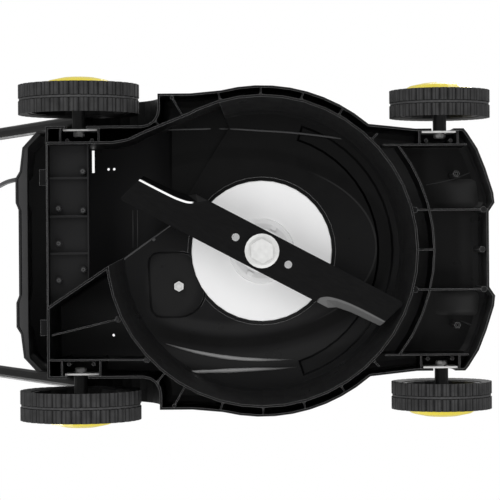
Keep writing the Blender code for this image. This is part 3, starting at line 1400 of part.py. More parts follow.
def make_lead(mower):
    """Grey lead from the hood, over the flap and up the right leg to the switch box."""
    start_x = -HOOD_R * 0.90 + 0.012 - NOZZLE_OUT - 0.016 - 2 * GAP
    end_z = UPPER_L - BOX_DROP - BOX_HALF_Z - RELIEF_L - 2 * GAP
    end_y = BOX_Y - RELIEF_Y
    route = [
        (start_x, NOZZLE_Y, NOZZLE_Z),
        (start_x - 4 * LEAD_R, NOZZLE_Y, NOZZLE_Z),
        (start_x - 0.040, NOZZLE_Y - 0.006, NOZZLE_Z + 0.006),
        (-0.215, -0.076, 0.214),
        (-0.258, -0.093, 0.238),
        (-0.300, -0.106, 0.258),
        (-0.338, -0.111, 0.272),
        (-0.375, -0.109, 0.296),
        (-0.406, -0.099, 0.335),
        (-0.436, -0.092, 0.381),
        (-0.470, -0.096, 0.434),
        (-0.505, -0.110, 0.490),
        along_handle(0, -0.126, -0.006),
        beside_leg(0.050, 0.003),
        beside_leg(0.100, 0),
        beside_leg(0.170, 0),
        beside_leg(0.240, 0),
        beside_leg(end_z - 0.145, 0.002),
        along_handle(-0.004, end_y - 0.052, end_z - 0.100),
        along_handle(-0.007, end_y - 0.030, end_z - 0.063),
        along_handle(-0.010, end_y - 0.008, end_z - 0.034),
        along_handle(LEAD_X, end_y, end_z - 4 * LEAD_R),
        along_handle(LEAD_X, end_y, end_z),
    ]
    curve = bpy.data.curves.new("power_lead", "CURVE")
    curve.dimensions = "3D"
    curve.bevel_depth = LEAD_R
    curve.bevel_resolution = 2
    curve.use_fill_caps = True
    spline = curve.splines.new("POLY")
    spots = [Vector(route[0])] + smooth_path(route[1:-1], LEAD_STEP) + [Vector(route[-1])]
    spline.points.add(len(spots) - 1)
    for point, spot in zip(spline.points, spots):
        point.co = (*spot, 1)
    curve.materials.append(material("power_lead", (0.30, 0.30, 0.30), 0.5))
    lead = bpy.data.objects.new("power_lead", curve)
    lead.parent = mower
    bpy.context.scene.collection.objects.link(lead)


def centre_on_footprint(mower):
    """Moves the mower along X and Y so that the origin is the middle of its box."""
    bpy.context.view_layer.update()
    graph = bpy.context.evaluated_depsgraph_get()
    spots = []
    for obj in bpy.data.objects:
        if obj.type == "EMPTY" or obj.hide_render:
            continue
        evaluated = obj.evaluated_get(graph)
        mesh = evaluated.to_mesh()
        spots += [evaluated.matrix_world @ v.co for v in mesh.vertices]
        evaluated.to_mesh_clear()
    for axis in (0, 1):
        values = [spot[axis] for spot in spots]
        mower.location[axis] -= (min(values) + max(values)) / 2


def main():
    for obj in list(bpy.data.objects):
        bpy.data.objects.remove(obj)
    mower = empty("mower")
    rotor = empty("rotor_spin", (0, 0, 0), mower)
    make_deck(mower)
    make_chute_floor(mower)
    make_anchor(mower)
    make_motor(mower, rotor)
    make_hood(mower)
    make_rotor(rotor)
    for side, hand in ((1, "left"), (-1, "right")):
        make_wheel(
            f"front_{hand}", FRONT_AXLE_X, FRONT_WHEEL_R, FRONT_WHEEL_W, FRONT_SIDE_Y, FRONT_SIDE_GAP,
            side, mower,
        )
        make_wheel(
            f"rear_{hand}", REAR_AXLE_X, REAR_WHEEL_R, REAR_WHEEL_W, SIDE_Y, REAR_SIDE_GAP, side, mower
        )
    make_flap(mower)
    base = make_lower_handle(mower)
    fold = make_upper_handle(base)
    make_switch_box(fold)
    make_start_lever(fold)
    make_lock_button(fold)
    make_lead(mower)
    centre_on_footprint(mower)


main()
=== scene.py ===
"""Finishes and small fittings for an electric lawn mower, seen from below.

Lengths are in metres, +X is the mower's front, +Y its left and +Z up, with the floor at
Z = 0. Places on the deck are given from AXIS, the foot of the line that the blade turns
about, and places on the upper handle from FOLD, the middle between its two pivots.
"""

import json
import math

import bmesh
import bpy
from mathutils import Matrix, Vector


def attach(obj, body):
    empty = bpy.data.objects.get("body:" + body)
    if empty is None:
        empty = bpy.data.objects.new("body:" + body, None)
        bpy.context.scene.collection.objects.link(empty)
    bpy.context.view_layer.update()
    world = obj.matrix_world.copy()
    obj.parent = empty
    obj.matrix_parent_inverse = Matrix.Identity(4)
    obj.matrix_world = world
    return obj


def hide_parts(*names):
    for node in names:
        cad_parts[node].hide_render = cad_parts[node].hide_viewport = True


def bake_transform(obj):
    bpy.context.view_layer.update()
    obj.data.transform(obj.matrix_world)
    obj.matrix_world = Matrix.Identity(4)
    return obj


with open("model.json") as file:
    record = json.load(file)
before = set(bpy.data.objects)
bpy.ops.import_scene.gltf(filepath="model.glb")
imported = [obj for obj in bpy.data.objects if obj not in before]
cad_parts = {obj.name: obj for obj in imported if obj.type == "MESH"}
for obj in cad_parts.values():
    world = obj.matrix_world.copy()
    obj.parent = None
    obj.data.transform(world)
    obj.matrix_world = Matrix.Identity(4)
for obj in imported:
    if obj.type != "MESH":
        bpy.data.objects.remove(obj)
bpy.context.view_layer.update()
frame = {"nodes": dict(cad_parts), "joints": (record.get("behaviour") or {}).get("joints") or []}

AHEAD, LEFT, UP = Vector((1, 0, 0)), Vector((0, 1, 0)), Vector((0, 0, 1))

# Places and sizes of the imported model
PIVOTS = {joint["name"]: Vector(joint["pos_m"]) for joint in frame["joints"] if "pos_m" in joint}
AXIS = Vector((PIVOTS["rotor_spin"].x, 0, 0))
FOLD = PIVOTS["handle_fold"]
LEAN = math.radians(38)                     # of the handle, back from upright
HANDLE_UP = Vector((-math.sin(LEAN), 0, math.cos(LEAN)))
HANDLE_FRONT = Vector((math.cos(LEAN), 0, math.sin(LEAN)))
TUBE_R = 0.0093                             # of the handle
LEG_FOOT_UP, LEG_FOOT_Y = -0.013, 0.1565    # the handle's legs, which draw together upwards
LEG_HEAD_UP, LEG_HEAD_Y = 0.450, 0.150
LEAD_R = 0.0035
BLADE_TURN = math.radians(27.95)            # of the blade at rest, about its axis
ROOF_Z = 0.098                              # of the chamber
VOLUTE_ROOF_Z = 0.1057
LUGS = 38                                   # in each of a tyre's two rows


# Camera

CAMERA_PLACE = (0.26865, -0.0014, -2.78)
CAMERA_ROLL = math.radians(0.45)
FOCAL_LENGTH, SENSOR_WIDTH = 146.6, 36      # mm


def add_camera():
    """Looks straight up at the mower's underside, with the front to the right."""
    right = Vector((math.cos(CAMERA_ROLL), math.sin(CAMERA_ROLL), 0))
    up = Vector((math.sin(CAMERA_ROLL), -math.cos(CAMERA_ROLL), 0))
    data = bpy.data.cameras.new("camera")
    data.sensor_width = SENSOR_WIDTH
    data.lens = FOCAL_LENGTH
    data.clip_start = 0.05
    data.clip_end = 50
    camera = bpy.data.objects.new("camera", data)
    turn = Matrix((right, up, right.cross(up))).transposed().to_4x4()
    camera.matrix_world = Matrix.Translation(CAMERA_PLACE) @ turn
    bpy.context.scene.collection.objects.link(camera)
    bpy.context.scene.camera = camera


# Light

# Each lamp's name, its place, what it aims at, its diameter and its power in watts
LAMPS = (
    ("lamp_above_right", (1.6, -2.0, 3.0), (0.1, 0, 0.3), 1.8, 70),
    ("lamp_above_left", (-1.4, 2.2, 2.6), (0, 0, 0.3), 2.0, 40),
    ("lamp_below_key", (0.9, 1.7, -2.3), (0.28, 0, 0.05), 2.2, 21),
    ("lamp_below_fill", (-1.0, -1.7, -2.3), (0.2, 0, 0.05), 1.6, 16),
)
SURROUND_DIFFUSE = 0.90
SURROUND_GLOSS = 0.42

FLOOR_SIZE = 14
FLOOR_Z = -0.0005


def add_lamp(name, place, aim, size, power):
    """A round lamp that faces a point."""
    data = bpy.data.lights.new(name, "AREA")
    data.shape = "DISK"
    data.size = size
    data.energy = power
    lamp = bpy.data.objects.new(name, data)
    lamp.location = place
    lamp.rotation_mode = "QUATERNION"
    lamp.rotation_quaternion = (Vector(aim) - Vector(place)).to_track_quat("-Z", "Y")
    bpy.context.scene.collection.objects.link(lamp)


def add_light():
    """The lamps, and a surround that is white to the camera and dimmer to the mower."""
    for lamp in LAMPS:
        add_lamp(*lamp)

    world = bpy.data.worlds.new("surround")
    bpy.context.scene.world = world
    world.use_nodes = True
    nodes, links = world.node_tree.nodes, world.node_tree.links
    background = nodes["Background"]
    background.inputs["Color"].default_value = (1, 1, 1, 1)
    path = nodes.new("ShaderNodeLightPath")
    seen = nodes.new("ShaderNodeMath")
    seen.operation = "MAXIMUM"
    links.new(path.outputs["Is Camera Ray"], seen.inputs[0])
    links.new(path.outputs["Is Transmission Ray"], seen.inputs[1])
    lit = nodes.new("ShaderNodeMapRange")
    lit.inputs["To Min"].default_value = SURROUND_DIFFUSE
    lit.inputs["To Max"].default_value = SURROUND_GLOSS
    links.new(path.outputs["Is Glossy Ray"], lit.inputs["Value"])
    strength = nodes.new("ShaderNodeMath")
    strength.operation = "MAXIMUM"
    links.new(seen.outputs[0], strength.inputs[0])
    links.new(lit.outputs["Result"], strength.inputs[1])
    links.new(strength.outputs[0], background.inputs["Strength"])


def add_floor():
    """A pale floor that shows from above and lets light and the camera through from below."""
    bpy.ops.object.select_all(action="DESELECT")
    bpy.ops.mesh.primitive_plane_add(size=FLOOR_SIZE, location=(0, 0, FLOOR_Z))
    floor = bpy.context.active_object
    floor.name = "floor"
    pale = bpy.data.materials.new("floor_paint")
    pale.use_nodes = True
    nodes, links = pale.node_tree.nodes, pale.node_tree.links
    paint = nodes["Principled BSDF"]
    paint.inputs["Base Color"].default_value = (*grey(0.90), 1)
    paint.inputs["Roughness"].default_value = 0.9
    clear = nodes.new("ShaderNodeBsdfTransparent")
    path = nodes.new("ShaderNodeLightPath")
    side = nodes.new("ShaderNodeNewGeometry")
    from_above = nodes.new("ShaderNodeMath")
    from_above.operation = "SUBTRACT"
    from_above.use_clamp = True
    links.new(path.outputs["Is Camera Ray"], from_above.inputs[0])
    links.new(side.outputs["Backfacing"], from_above.inputs[1])
    mix = nodes.new("ShaderNodeMixShader")
    links.new(from_above.outputs[0], mix.inputs["Fac"])
    links.new(clear.outputs[0], mix.inputs[1])
    links.new(paint.outputs[0], mix.inputs[2])
    links.new(mix.outputs[0], nodes["Material Output"].inputs["Surface"])
    floor.data.materials.append(pale)


# Finishes

finishes = {}


def grey(level, blue=None):
    """A grey, with its own share of blue where it is a little cold."""
    return level, level, level if blue is None else blue


class Finish:
    """A material whose patterns read the object's own coordinates."""

    def __init__(self, name, rough, metallic=0.0):
        self.material = bpy.data.materials.new(name)
        self.material.use_nodes = True
        self.nodes = self.material.node_tree.nodes
        self.links = self.material.node_tree.links
        self.shader = self.nodes["Principled BSDF"]
        self.shader.inputs["Roughness"].default_value = rough
        self.shader.inputs["Metallic"].default_value = metallic
        self.place = self.nodes.new("ShaderNodeTexCoord").outputs["Object"]
        self.normal = None

    def set(self, **sockets):
        """Sets inputs of the surface by name, with _ for each space."""
        for name, value in sockets.items():
            self.shader.inputs[name.replace("_", " ")].default_value = value
        return self

    def mapped(self, centre=(0, 0, 0), turn=(0, 0, 0), stretch=(1, 1, 1)):
        """The coordinates moved to a centre, turned, and multiplied along each axis."""
        shift = self.nodes.new("ShaderNodeMapping")
        shift.vector_type = "TEXTURE"
        shift.inputs["Location"].default_value = centre
        shift.inputs["Rotation"].default_value = turn
        shift.inputs["Scale"].default_value = [1 / s for s in stretch]
        self.links.new(self.place, shift.inputs["Vector"])
        return shift.outputs["Vector"]

    def noise(self, scale, detail=3.0, where=None):
        """A cloudy pattern."""
        cloud = self.nodes.new("ShaderNodeTexNoise")
        cloud.inputs["Scale"].default_value = scale
        cloud.inputs["Detail"].default_value = detail
        self.links.new(where or self.place, cloud.inputs["Vector"])
        return cloud.outputs["Fac"]

    def cells(self, scale):
        """A pattern of round cells."""
        cell = self.nodes.new("ShaderNodeTexVoronoi")
        cell.inputs["Scale"].default_value = scale
        self.links.new(self.place, cell.inputs["Vector"])
        return cell.outputs["Distance"]

    def bands(self, scale, axis="Z", kind="BANDS", where=None, distortion=0.0):
        """Stripes along an axis, or rings round it where kind is RINGS."""
        wave = self.nodes.new("ShaderNodeTexWave")
        wave.wave_type = kind
        if kind == "BANDS":
            wave.bands_direction = axis
        else:
            wave.rings_direction = axis
        wave.inputs["Scale"].default_value = scale
        wave.inputs["Distortion"].default_value = distortion
        self.links.new(where or self.place, wave.inputs["Vector"])
        return wave.outputs["Fac"]

    def colours(self, pattern, stops):
        """Colours along a pattern, as (position, colour) stops."""
        ramp = self.nodes.new("ShaderNodeValToRGB")
        while len(ramp.color_ramp.elements) < len(stops):
            ramp.color_ramp.elements.new(0.5)
        for element, (position, colour) in zip(ramp.color_ramp.elements, stops):
            element.position = position
            element.color = (*colour, 1)
        self.links.new(pattern, ramp.inputs["Fac"])
        self.links.new(ramp.outputs["Color"], self.shader.inputs["Base Color"])
        return self

    def roughness(self, pattern, low, high):
        """Roughness that follows the middle part of a pattern."""
        spread = self.nodes.new("ShaderNodeMapRange")
        spread.inputs["From Min"].default_value = 0.3
        spread.inputs["From Max"].default_value = 0.7
        spread.inputs["To Min"].default_value = low
        spread.inputs["To Max"].default_value = high
        self.links.new(pattern, spread.inputs["Value"])
        self.links.new(spread.outputs["Result"], self.shader.inputs["Roughness"])
        return self

    def soft_edges(self, radius):
        """Shades sharp edges as if they were rounded."""
        bevel = self.nodes.new("ShaderNodeBevel")
        bevel.samples = 6
        bevel.inputs["Radius"].default_value = radius
        self.normal = bevel.outputs["Normal"]
        self.links.new(self.normal, self.shader.inputs["Normal"])
        return self

    def edge_highlights(self, colour, where=None):
        """Painted highlights along edges: a paler colour mixed in where the rounded normal leaves the
        face's own.
        """
        face = self.nodes.new("ShaderNodeNewGeometry")
        same = self.nodes.new("ShaderNodeVectorMath")
        same.operation = "DOT_PRODUCT"
        self.links.new(self.normal, same.inputs[0])
        self.links.new(face.outputs["Normal"], same.inputs[1])
        edge = self.between(same.outputs["Value"], 0.97, 0.82)
        return self.tint(self.both(edge, where) if where else edge, colour)

    def tint(self, share, colour):
        """Mixes a colour into the base colour."""
        mix = self.nodes.new("ShaderNodeMix")
        mix.data_type = "RGBA"
        mix.inputs["B"].default_value = (*colour, 1)
        self.links.new(share, mix.inputs["Factor"])
        base = self.shader.inputs["Base Color"]
        self.links.new(base.links[0].from_socket, mix.inputs["A"])
        self.links.new(mix.outputs["Result"], base)
        return self

    def reach(self, direction, where=None):
        """How far a point lies along a direction."""
        dot = self.nodes.new("ShaderNodeVectorMath")
        dot.operation = "DOT_PRODUCT"
        dot.inputs[1].default_value = direction
        self.links.new(where or self.place, dot.inputs[0])
        return dot.outputs["Value"]

    def radius(self, where):
        """How far a point lies from the origin of its coordinates."""
        length = self.nodes.new("ShaderNodeVectorMath")
        length.operation = "LENGTH"
        self.links.new(where, length.inputs[0])
        return length.outputs["Value"]

    def reckon(self, operation, first, second=0.0):
        """One arithmetic step on two values, each a socket or a number."""
        node = self.nodes.new("ShaderNodeMath")
        node.operation = operation
        for socket, value in zip(node.inputs, (first, second)):
            if isinstance(value, float):
                socket.default_value = value
            else:
                self.links.new(value, socket)
        return node.outputs[0]

    def between(self, value, start, end):
        """Rises smoothly from 0 at one value to 1 at another."""
        share = self.nodes.new("ShaderNodeMapRange")
        share.interpolation_type = "SMOOTHSTEP"
        share.inputs["From Min"].default_value = start
        share.inputs["From Max"].default_value = end
        self.links.new(value, share.inputs["Value"])
        return share.outputs["Result"]

    def near(self, value, middle, half, soft):
        """1 within a half width of a value, down to 0 over a soft width beyond it."""
        away = self.reckon("ABSOLUTE", self.reckon("SUBTRACT", value, middle))
        return self.between(away, half + soft, half)

    def both(self, *shares):
        """Where all the shares hold."""
        product = shares[0]
        for share in shares[1:]:
            product = self.reckon("MULTIPLY", product, share)
        return product

    def either(self, first, second):
        """Where one share holds or the other."""
        return self.reckon("MAXIMUM", first, second)

    def looked_up(self, value, points):
        """A value read off a smooth line of points between 0 and 1."""
        lookup = self.nodes.new("ShaderNodeFloatCurve")
        line = lookup.mapping.curves[0]
        while len(line.points) < len(points):
            line.points.new(0.5, 0.5)
        for point, place in zip(line.points, points):
            point.location = place
        lookup.mapping.update()
        self.links.new(value, lookup.inputs["Value"])
        return lookup.outputs["Value"]

    def facing(self, direction):
        """How far a face looks in a direction, from -1 to 1."""
        face = self.nodes.new("ShaderNodeNewGeometry")
        return self.reach(direction, face.outputs["Normal"])

    def relief(self, pattern, depth):
        """Raises the surface with a pattern, on top of its rounded edges."""
        bump = self.nodes.new("ShaderNodeBump")
        bump.inputs["Strength"].default_value = 1.0
        bump.inputs["Distance"].default_value = depth
        self.links.new(pattern, bump.inputs["Height"])
        if self.normal:
            self.links.new(self.normal, bump.inputs["Normal"])
        self.normal = bump.outputs["Normal"]
        self.links.new(self.normal, self.shader.inputs["Normal"])
        return self


def moulded_plastic(name, dark, light, rough, grain=0.00008, edge=0.0014, highlight_colour=None):
    """Moulded plastic: a faint flow pattern, a fine pebbled skin, eased edges, and painted edge
    highlights if given.
    """
    made = Finish(name, rough)
    flow = made.noise(scale=9, detail=4, where=made.mapped(stretch=(1, 1, 2.5)))
    made.colours(flow, [(0.30, dark), (0.70, light)])
    made.roughness(made.noise(scale=38, detail=3), rough - 0.07, rough + 0.09)
    made.soft_edges(edge)
    if highlight_colour:
        made.edge_highlights(highlight_colour)
    pebbles = made.noise(scale=1500, detail=2)
    return made.relief(pebbles, grain)


def brushed_metal(name, dark, light, rough, stretch=(1, 1, 30)):
    """Metal with fine streaks that lie across the stretched axis."""
    made = Finish(name, rough, metallic=1.0)
    streaks = made.noise(scale=160, detail=4, where=made.mapped(stretch=stretch))
    made.colours(streaks, [(0.30, dark), (0.70, light)])
    made.roughness(streaks, rough - 0.08, rough + 0.10)
    made.soft_edges(0.0006)
    return made.relief(streaks, 0.00003)


def tread_plastic(name, hub, radius):
    """Tyre plastic, with painted shade darkening the notches between the lugs."""
    tread = Finish(name, 0.7)
    tread.colours(
        tread.noise(scale=60, detail=5), [(0.32, grey(0.018, 0.0185)), (0.68, grey(0.034, 0.035))]
    )
    ahead = tread.reach(AHEAD, tread.mapped(centre=hub))
    height = tread.reach(UP, tread.mapped(centre=hub))
    turn = tread.reckon("ARCTAN2", height, ahead)
    notch = tread.reckon("PINGPONG", tread.reckon("MULTIPLY", turn, LUGS / math.pi), 0.5)
    from_hub = tread.radius(tread.mapped(centre=hub, stretch=(1, 0.001, 1)))
    lugs = tread.between(from_hub, radius - 0.008, radius - 0.006)
    # Painted shade in the notches between the lugs
    tread.tint(tread.both(lugs, tread.between(notch, 0.16, 0.08)), grey(0.005, 0.0052))
    tread.roughness(tread.noise(scale=25, detail=3), 0.58, 0.78)
    tread.soft_edges(0.0009)
    return tread.relief(tread.noise(scale=900, detail=3), 0.00012)


# Bounds of the painted light and shade on the deck: heights, and lengths from the blade's axis.
# A pair says where a tone starts and where it is full, and three values say its middle, half width and
# fade.
ROOF_BAND = (0.095, 0.0125, 0.001)
TUNNEL_ASIDE, TUNNEL_UP = (0.180, 0.170), (0.107, 0.130)
FENDER_ASIDE, FENDER_UP = (0.165, 0.175), (0.120, 0.150)
RIGHT_ROOF = (0.03, -0.13)
FRONT_AHEAD = (0.225, 0.240)
GLOW_AHEAD, GLOW_ASIDE = (0.293, 0.005, 0.014), (0.060, 0.045)
BUMPER_AHEAD = (0.240, 0.270)
TONGUE_ALONG, TONGUE_PAST = Vector((0.614, 1, 0)), (-0.104, -0.098)
REAR_AHEAD, REAR_ASIDE = (-0.110, -0.120), (0.172, 0.168)
RING_OUT, SIDE_ASIDE = (0.248, 0.244), (0.142, 0.150)
EDGE_AHEAD, EDGE_UP = (-0.140, -0.125), (0.140, 0.135)
POCKET_UP, POCKET_OUT = (0.070, 0.075), (0.216, 0.220)
WALL_OUT, WALL_IN = (0.216, 0.214), (0.150, 0.160)
LOW_UP, DISC_OUT = (0.094, 0.088), (0.120, 0.112)

# Painted sheen and shade on the chamber's roof follow an oval: its middle, its half length and
# half width, and the shares of it where each band lies
OVAL_MIDDLE, OVAL_AHEAD, OVAL_ASIDE = Vector((-0.040, -0.005, 0)), 0.215, 0.134
SHADE_OVAL = (1.0, 0.030, 0.055)
SHEEN_INSIDE, SHEEN_OUTSIDE = (0.850, 0.020, 0.070), (1.19, 0.030, 0.090)
LINE_OVAL, LINE_AHEAD = (0.938, 0.003, 0.006), (0.06, 0.11)
OVAL_FADES, LEFT_ROOF = (-0.175, -0.120), (0.050, 0.090)
RECESS_MIDDLE, RECESS_AHEAD, RECESS_ASIDE = Vector((-0.1264, 0.0456, 0)), 0.040, 0.050
RECESS_SHARE = (1.05, 0.75)


def shade_deck(deck):
    """Painted light and shade on the deck's underside, where its mouldings turn to or from the light.

    Returns where its edges get painted highlights: low down, and round the disc.
    """
    spot = deck.mapped(centre=AXIS)
    along, across, up = deck.reach(AHEAD, spot), deck.reach(LEFT, spot), deck.reach(UP)
    aside = deck.reckon("ABSOLUTE", across)
    out = deck.radius(deck.mapped(centre=AXIS, stretch=(1, 1, 0.001)))
    below = deck.between(deck.facing(-UP), 0.0, 0.4)
    upright = deck.near(deck.facing(UP), 0.0, 0.3, 0.2)
    roof = deck.both(below, deck.near(up, *ROOF_BAND))

    # Painted light: the high ceilings within the sides, in the tunnel, are lightened as if more light
    # reached them
    tunnel = deck.both(below, deck.between(aside, *TUNNEL_ASIDE), deck.between(up, *TUNNEL_UP))
    deck.tint(tunnel, grey(0.0125, 0.013))
    # Painted shade: the high ceilings outside the sides, over the wheels, are darkened
    fender = deck.both(below, deck.between(aside, *FENDER_ASIDE), deck.between(up, *FENDER_UP))
    deck.tint(fender, grey(0.001))
    # Painted shade: the chamber's roof darkens towards its right side, away from the light
    deck.tint(deck.both(roof, deck.between(across, *RIGHT_ROOF)), grey(0.0019, 0.0020))

    # Painted light: the ceilings of the front compartments are lightened
    front = deck.both(below, deck.between(along, *FRONT_AHEAD))
    deck.tint(front, grey(0.0085, 0.0087))
    # Painted highlight: a pale band across the front, near the middle
    glow = deck.both(front, deck.near(along, *GLOW_AHEAD), deck.between(aside, *GLOW_ASIDE))
    deck.tint(glow, grey(0.020, 0.0203))
    # Painted light: faces at the front that look back towards the blade are lighter
    faces_back = deck.between(deck.facing(-AHEAD), 0.2, 0.6)
    deck.tint(deck.both(faces_back, deck.between(along, *BUMPER_AHEAD)), grey(0.030, 0.0305))

    # Painted light: the ceilings of the pockets outside the chamber, along the sides and at the rear, are
    # lightened as if more light reached into them
    past_tongue = deck.between(deck.reach(TONGUE_ALONG, spot), *TONGUE_PAST)
    rear = deck.both(past_tongue, deck.between(along, *REAR_AHEAD), deck.between(aside, *REAR_ASIDE))
    ring = deck.either(deck.between(out, *RING_OUT), deck.between(aside, *SIDE_ASIDE))
    edge = deck.both(ring, deck.between(along, *EDGE_AHEAD), deck.between(up, *EDGE_UP))
    pockets = deck.both(below, deck.between(up, *POCKET_UP), deck.between(out, *POCKET_OUT))
    deck.tint(deck.both(pockets, deck.either(edge, rear)), grey(0.060, 0.061))
    # Painted light: the upright faces inside the chamber are lighter
    chamber_wall = deck.both(upright, deck.between(out, *WALL_OUT), deck.between(out, *WALL_IN))
    deck.tint(chamber_wall, grey(0.014, 0.0143))

    # Painted shade: a dark band along an oval on the chamber's roof
    oval = deck.radius(deck.mapped(
        centre=AXIS + OVAL_MIDDLE, stretch=(1 / OVAL_AHEAD, 1 / OVAL_ASIDE, 0.001)
    ))
    fades = deck.between(along, *OVAL_FADES)
    deck.tint(deck.both(roof, fades, deck.near(oval, *SHADE_OVAL)), grey(0.0005, 0.0006))
    # Painted sheen: two pale bands along the oval on the roof's left half
    left_half = deck.both(roof, fades, deck.between(across, *LEFT_ROOF))
    sheen = deck.either(deck.near(oval, *SHEEN_INSIDE), deck.near(oval, *SHEEN_OUTSIDE))
    deck.tint(deck.both(left_half, sheen), grey(0.0130, 0.0133))
    # Painted highlight: a thin pale line along the oval, ahead of the blade's axis
    inner_line = deck.both(deck.between(along, *LINE_AHEAD), deck.near(oval, *LINE_OVAL))
    deck.tint(deck.both(roof, inner_line), grey(0.016))

    # Painted light: the rounded recess behind and left of the blade's axis is lightened
    recess = deck.radius(deck.mapped(
        centre=AXIS + RECESS_MIDDLE, stretch=(1 / RECESS_AHEAD, 1 / RECESS_ASIDE, 0.001)
    ))
    deck.tint(deck.both(below, deck.between(recess, *RECESS_SHARE)), grey(0.011, 0.0112))
    return deck.either(deck.between(up, *LOW_UP), deck.between(out, *DISC_OUT))


# The bends at the foot of the blade's wings, which bound its painted highlight and reflection: points
# from the axis, as shares of this length along the blade and this width across it
BLADE_REACH, BLADE_WIDTH = 0.2, 0.03
NEAR_BEND = (
    (0.560, 0.567), (0.591, 0.460), (0.624, 0.383), (0.660, 0.343), (0.700, 0.313), (0.75, 0.300),
    (0.97, 0.295),
)
FAR_BEND = ((0.494, 0.930), (0.534, 0.523), (0.590, 0.383), (0.708, 0.265), (0.988, 0.250))


def paint_blade_glints(blade):
    """Painted light on the blade's two wings: a painted highlight along the near one's bend, and a
    painted reflection that makes the far one paler all over.
    """
    turned = blade.mapped(centre=AXIS, turn=(0, 0, BLADE_TURN))
    along = blade.reach(-AHEAD / BLADE_REACH, turned)
    across = blade.reach(-LEFT / BLADE_WIDTH, turned)
    from_bend = blade.reckon("SUBTRACT", across, blade.looked_up(along, NEAR_BEND))
    on_bend = blade.near(from_bend, 0.0, 0.040, 0.012)
    on_near_wing = blade.both(blade.between(along, 0.570, 0.590), blade.between(along, 1.0, 0.985))
    # Painted highlight along the near wing's bend
    blade.tint(blade.both(on_bend, on_near_wing), grey(0.95))

    # Painted reflection: the far wing paler all over
    far_along = blade.reach(AHEAD / BLADE_REACH, turned)
    far_across = blade.reach(LEFT / BLADE_WIDTH, turned)
    past_bend = blade.reckon("SUBTRACT", far_across, blade.looked_up(far_along, FAR_BEND))
    on_far_wing = blade.both(
        blade.between(past_bend, -0.01, 0.03), blade.between(far_along, 0.49, 0.51)
    )
    blade.tint(on_far_wing, grey(0.11))


def make_plastics():
    """The moulded and painted surfaces, each of dark and pale parts of one colour, some with painted
    light and shade.
    """
    deck = moulded_plastic("deck_plastic", grey(0.0035, 0.0038), grey(0.0065, 0.0070), 0.34, edge=0.0009)
    edge_glints = shade_deck(deck)
    # Painted highlights along the deck's low edges and round the disc
    finishes["deck"] = deck.edge_highlights(grey(0.26, 0.261), edge_glints).set(Specular_IOR_Level=0.16)
    # Painted light: lit and shaded copies of the flap's dark plastic, the lighter for its turned-in rim
    # and the darker for the flap itself
    flap = moulded_plastic("flap_lit_plastic", grey(0.046, 0.0465), grey(0.058, 0.0585), 0.45)
    finishes["flap"] = flap.set(Specular_IOR_Level=0.16)
    shade = moulded_plastic("flap_shaded_plastic", grey(0.022, 0.0225), grey(0.030, 0.0305), 0.45)
    finishes["flap_shaded"] = shade.set(Specular_IOR_Level=0.16)
    # Painted highlights along the edges of the grey plastic
    chute = moulded_plastic(
        "grey_plastic", grey(0.008, 0.0084), grey(0.014, 0.0145), 0.42, highlight_colour=grey(0.035, 0.036)
    )
    finishes["grey"] = chute.set(Specular_IOR_Level=0.16)
    for name, edge in (("yellow", 0.0014), ("hood", 0.008)):
        finishes[name] = moulded_plastic(
            f"{name}_plastic", (0.74, 0.60, 0.025), (0.84, 0.70, 0.045), 0.30, 0.00003, edge
        ).set(Coat_Weight=0.2, Coat_Roughness=0.15)
    tube = moulded_plastic("tube_paint", grey(0.005, 0.0053), grey(0.009, 0.0093), 0.34, 0.00004)
    finishes["tube"] = tube.set(Specular_IOR_Level=0.2)
    finishes["wheel"] = moulded_plastic("wheel_plastic", grey(0.009, 0.0095), grey(0.017, 0.0175), 0.48)
    # Painted highlight: a paler copy of the dark plastic, for the tread bands and the deck's thin beads
    # and boss, whose rounded faces it shows lit; the floor screws wear it too
    finishes["tread_band"] = moulded_plastic("tread_band", grey(0.036, 0.037), grey(0.052, 0.053), 0.6)
    finishes["pale"] = moulded_plastic("pale_plastic", grey(0.62, 0.63), grey(0.72, 0.73), 0.34)

    # Painted highlight: the ramp beads are pale in their middle and go dark like the deck away from it
    bead = moulded_plastic("bead_highlight_plastic", grey(0.20), grey(0.28), 0.3, 0.00002)
    ends = bead.near(bead.reach(AHEAD, bead.mapped(centre=AXIS)), -0.055, 0.030, 0.075)
    finishes["bead"] = bead.tint(bead.reckon("SUBTRACT", 1.0, ends), grey(0.012))

    # Painted sheen: the swells grow lighter towards the front
    swell = moulded_plastic("swell_plastic", grey(0.004, 0.0042), grey(0.006, 0.0062), 0.42)
    swell_sheen = swell.between(swell.reach(AHEAD, swell.mapped(centre=AXIS)), 0.245, 0.305)
    finishes["swell"] = swell.tint(swell_sheen, grey(0.060)).set(Specular_IOR_Level=0.25)

    for end in ("front", "rear"):
        hub = PIVOTS[f"{end}_left_spin"]
        finishes[f"{end}_tread"] = tread_plastic(f"{end}_tread_plastic", Vector((hub.x, 0, hub.z)), hub.z)


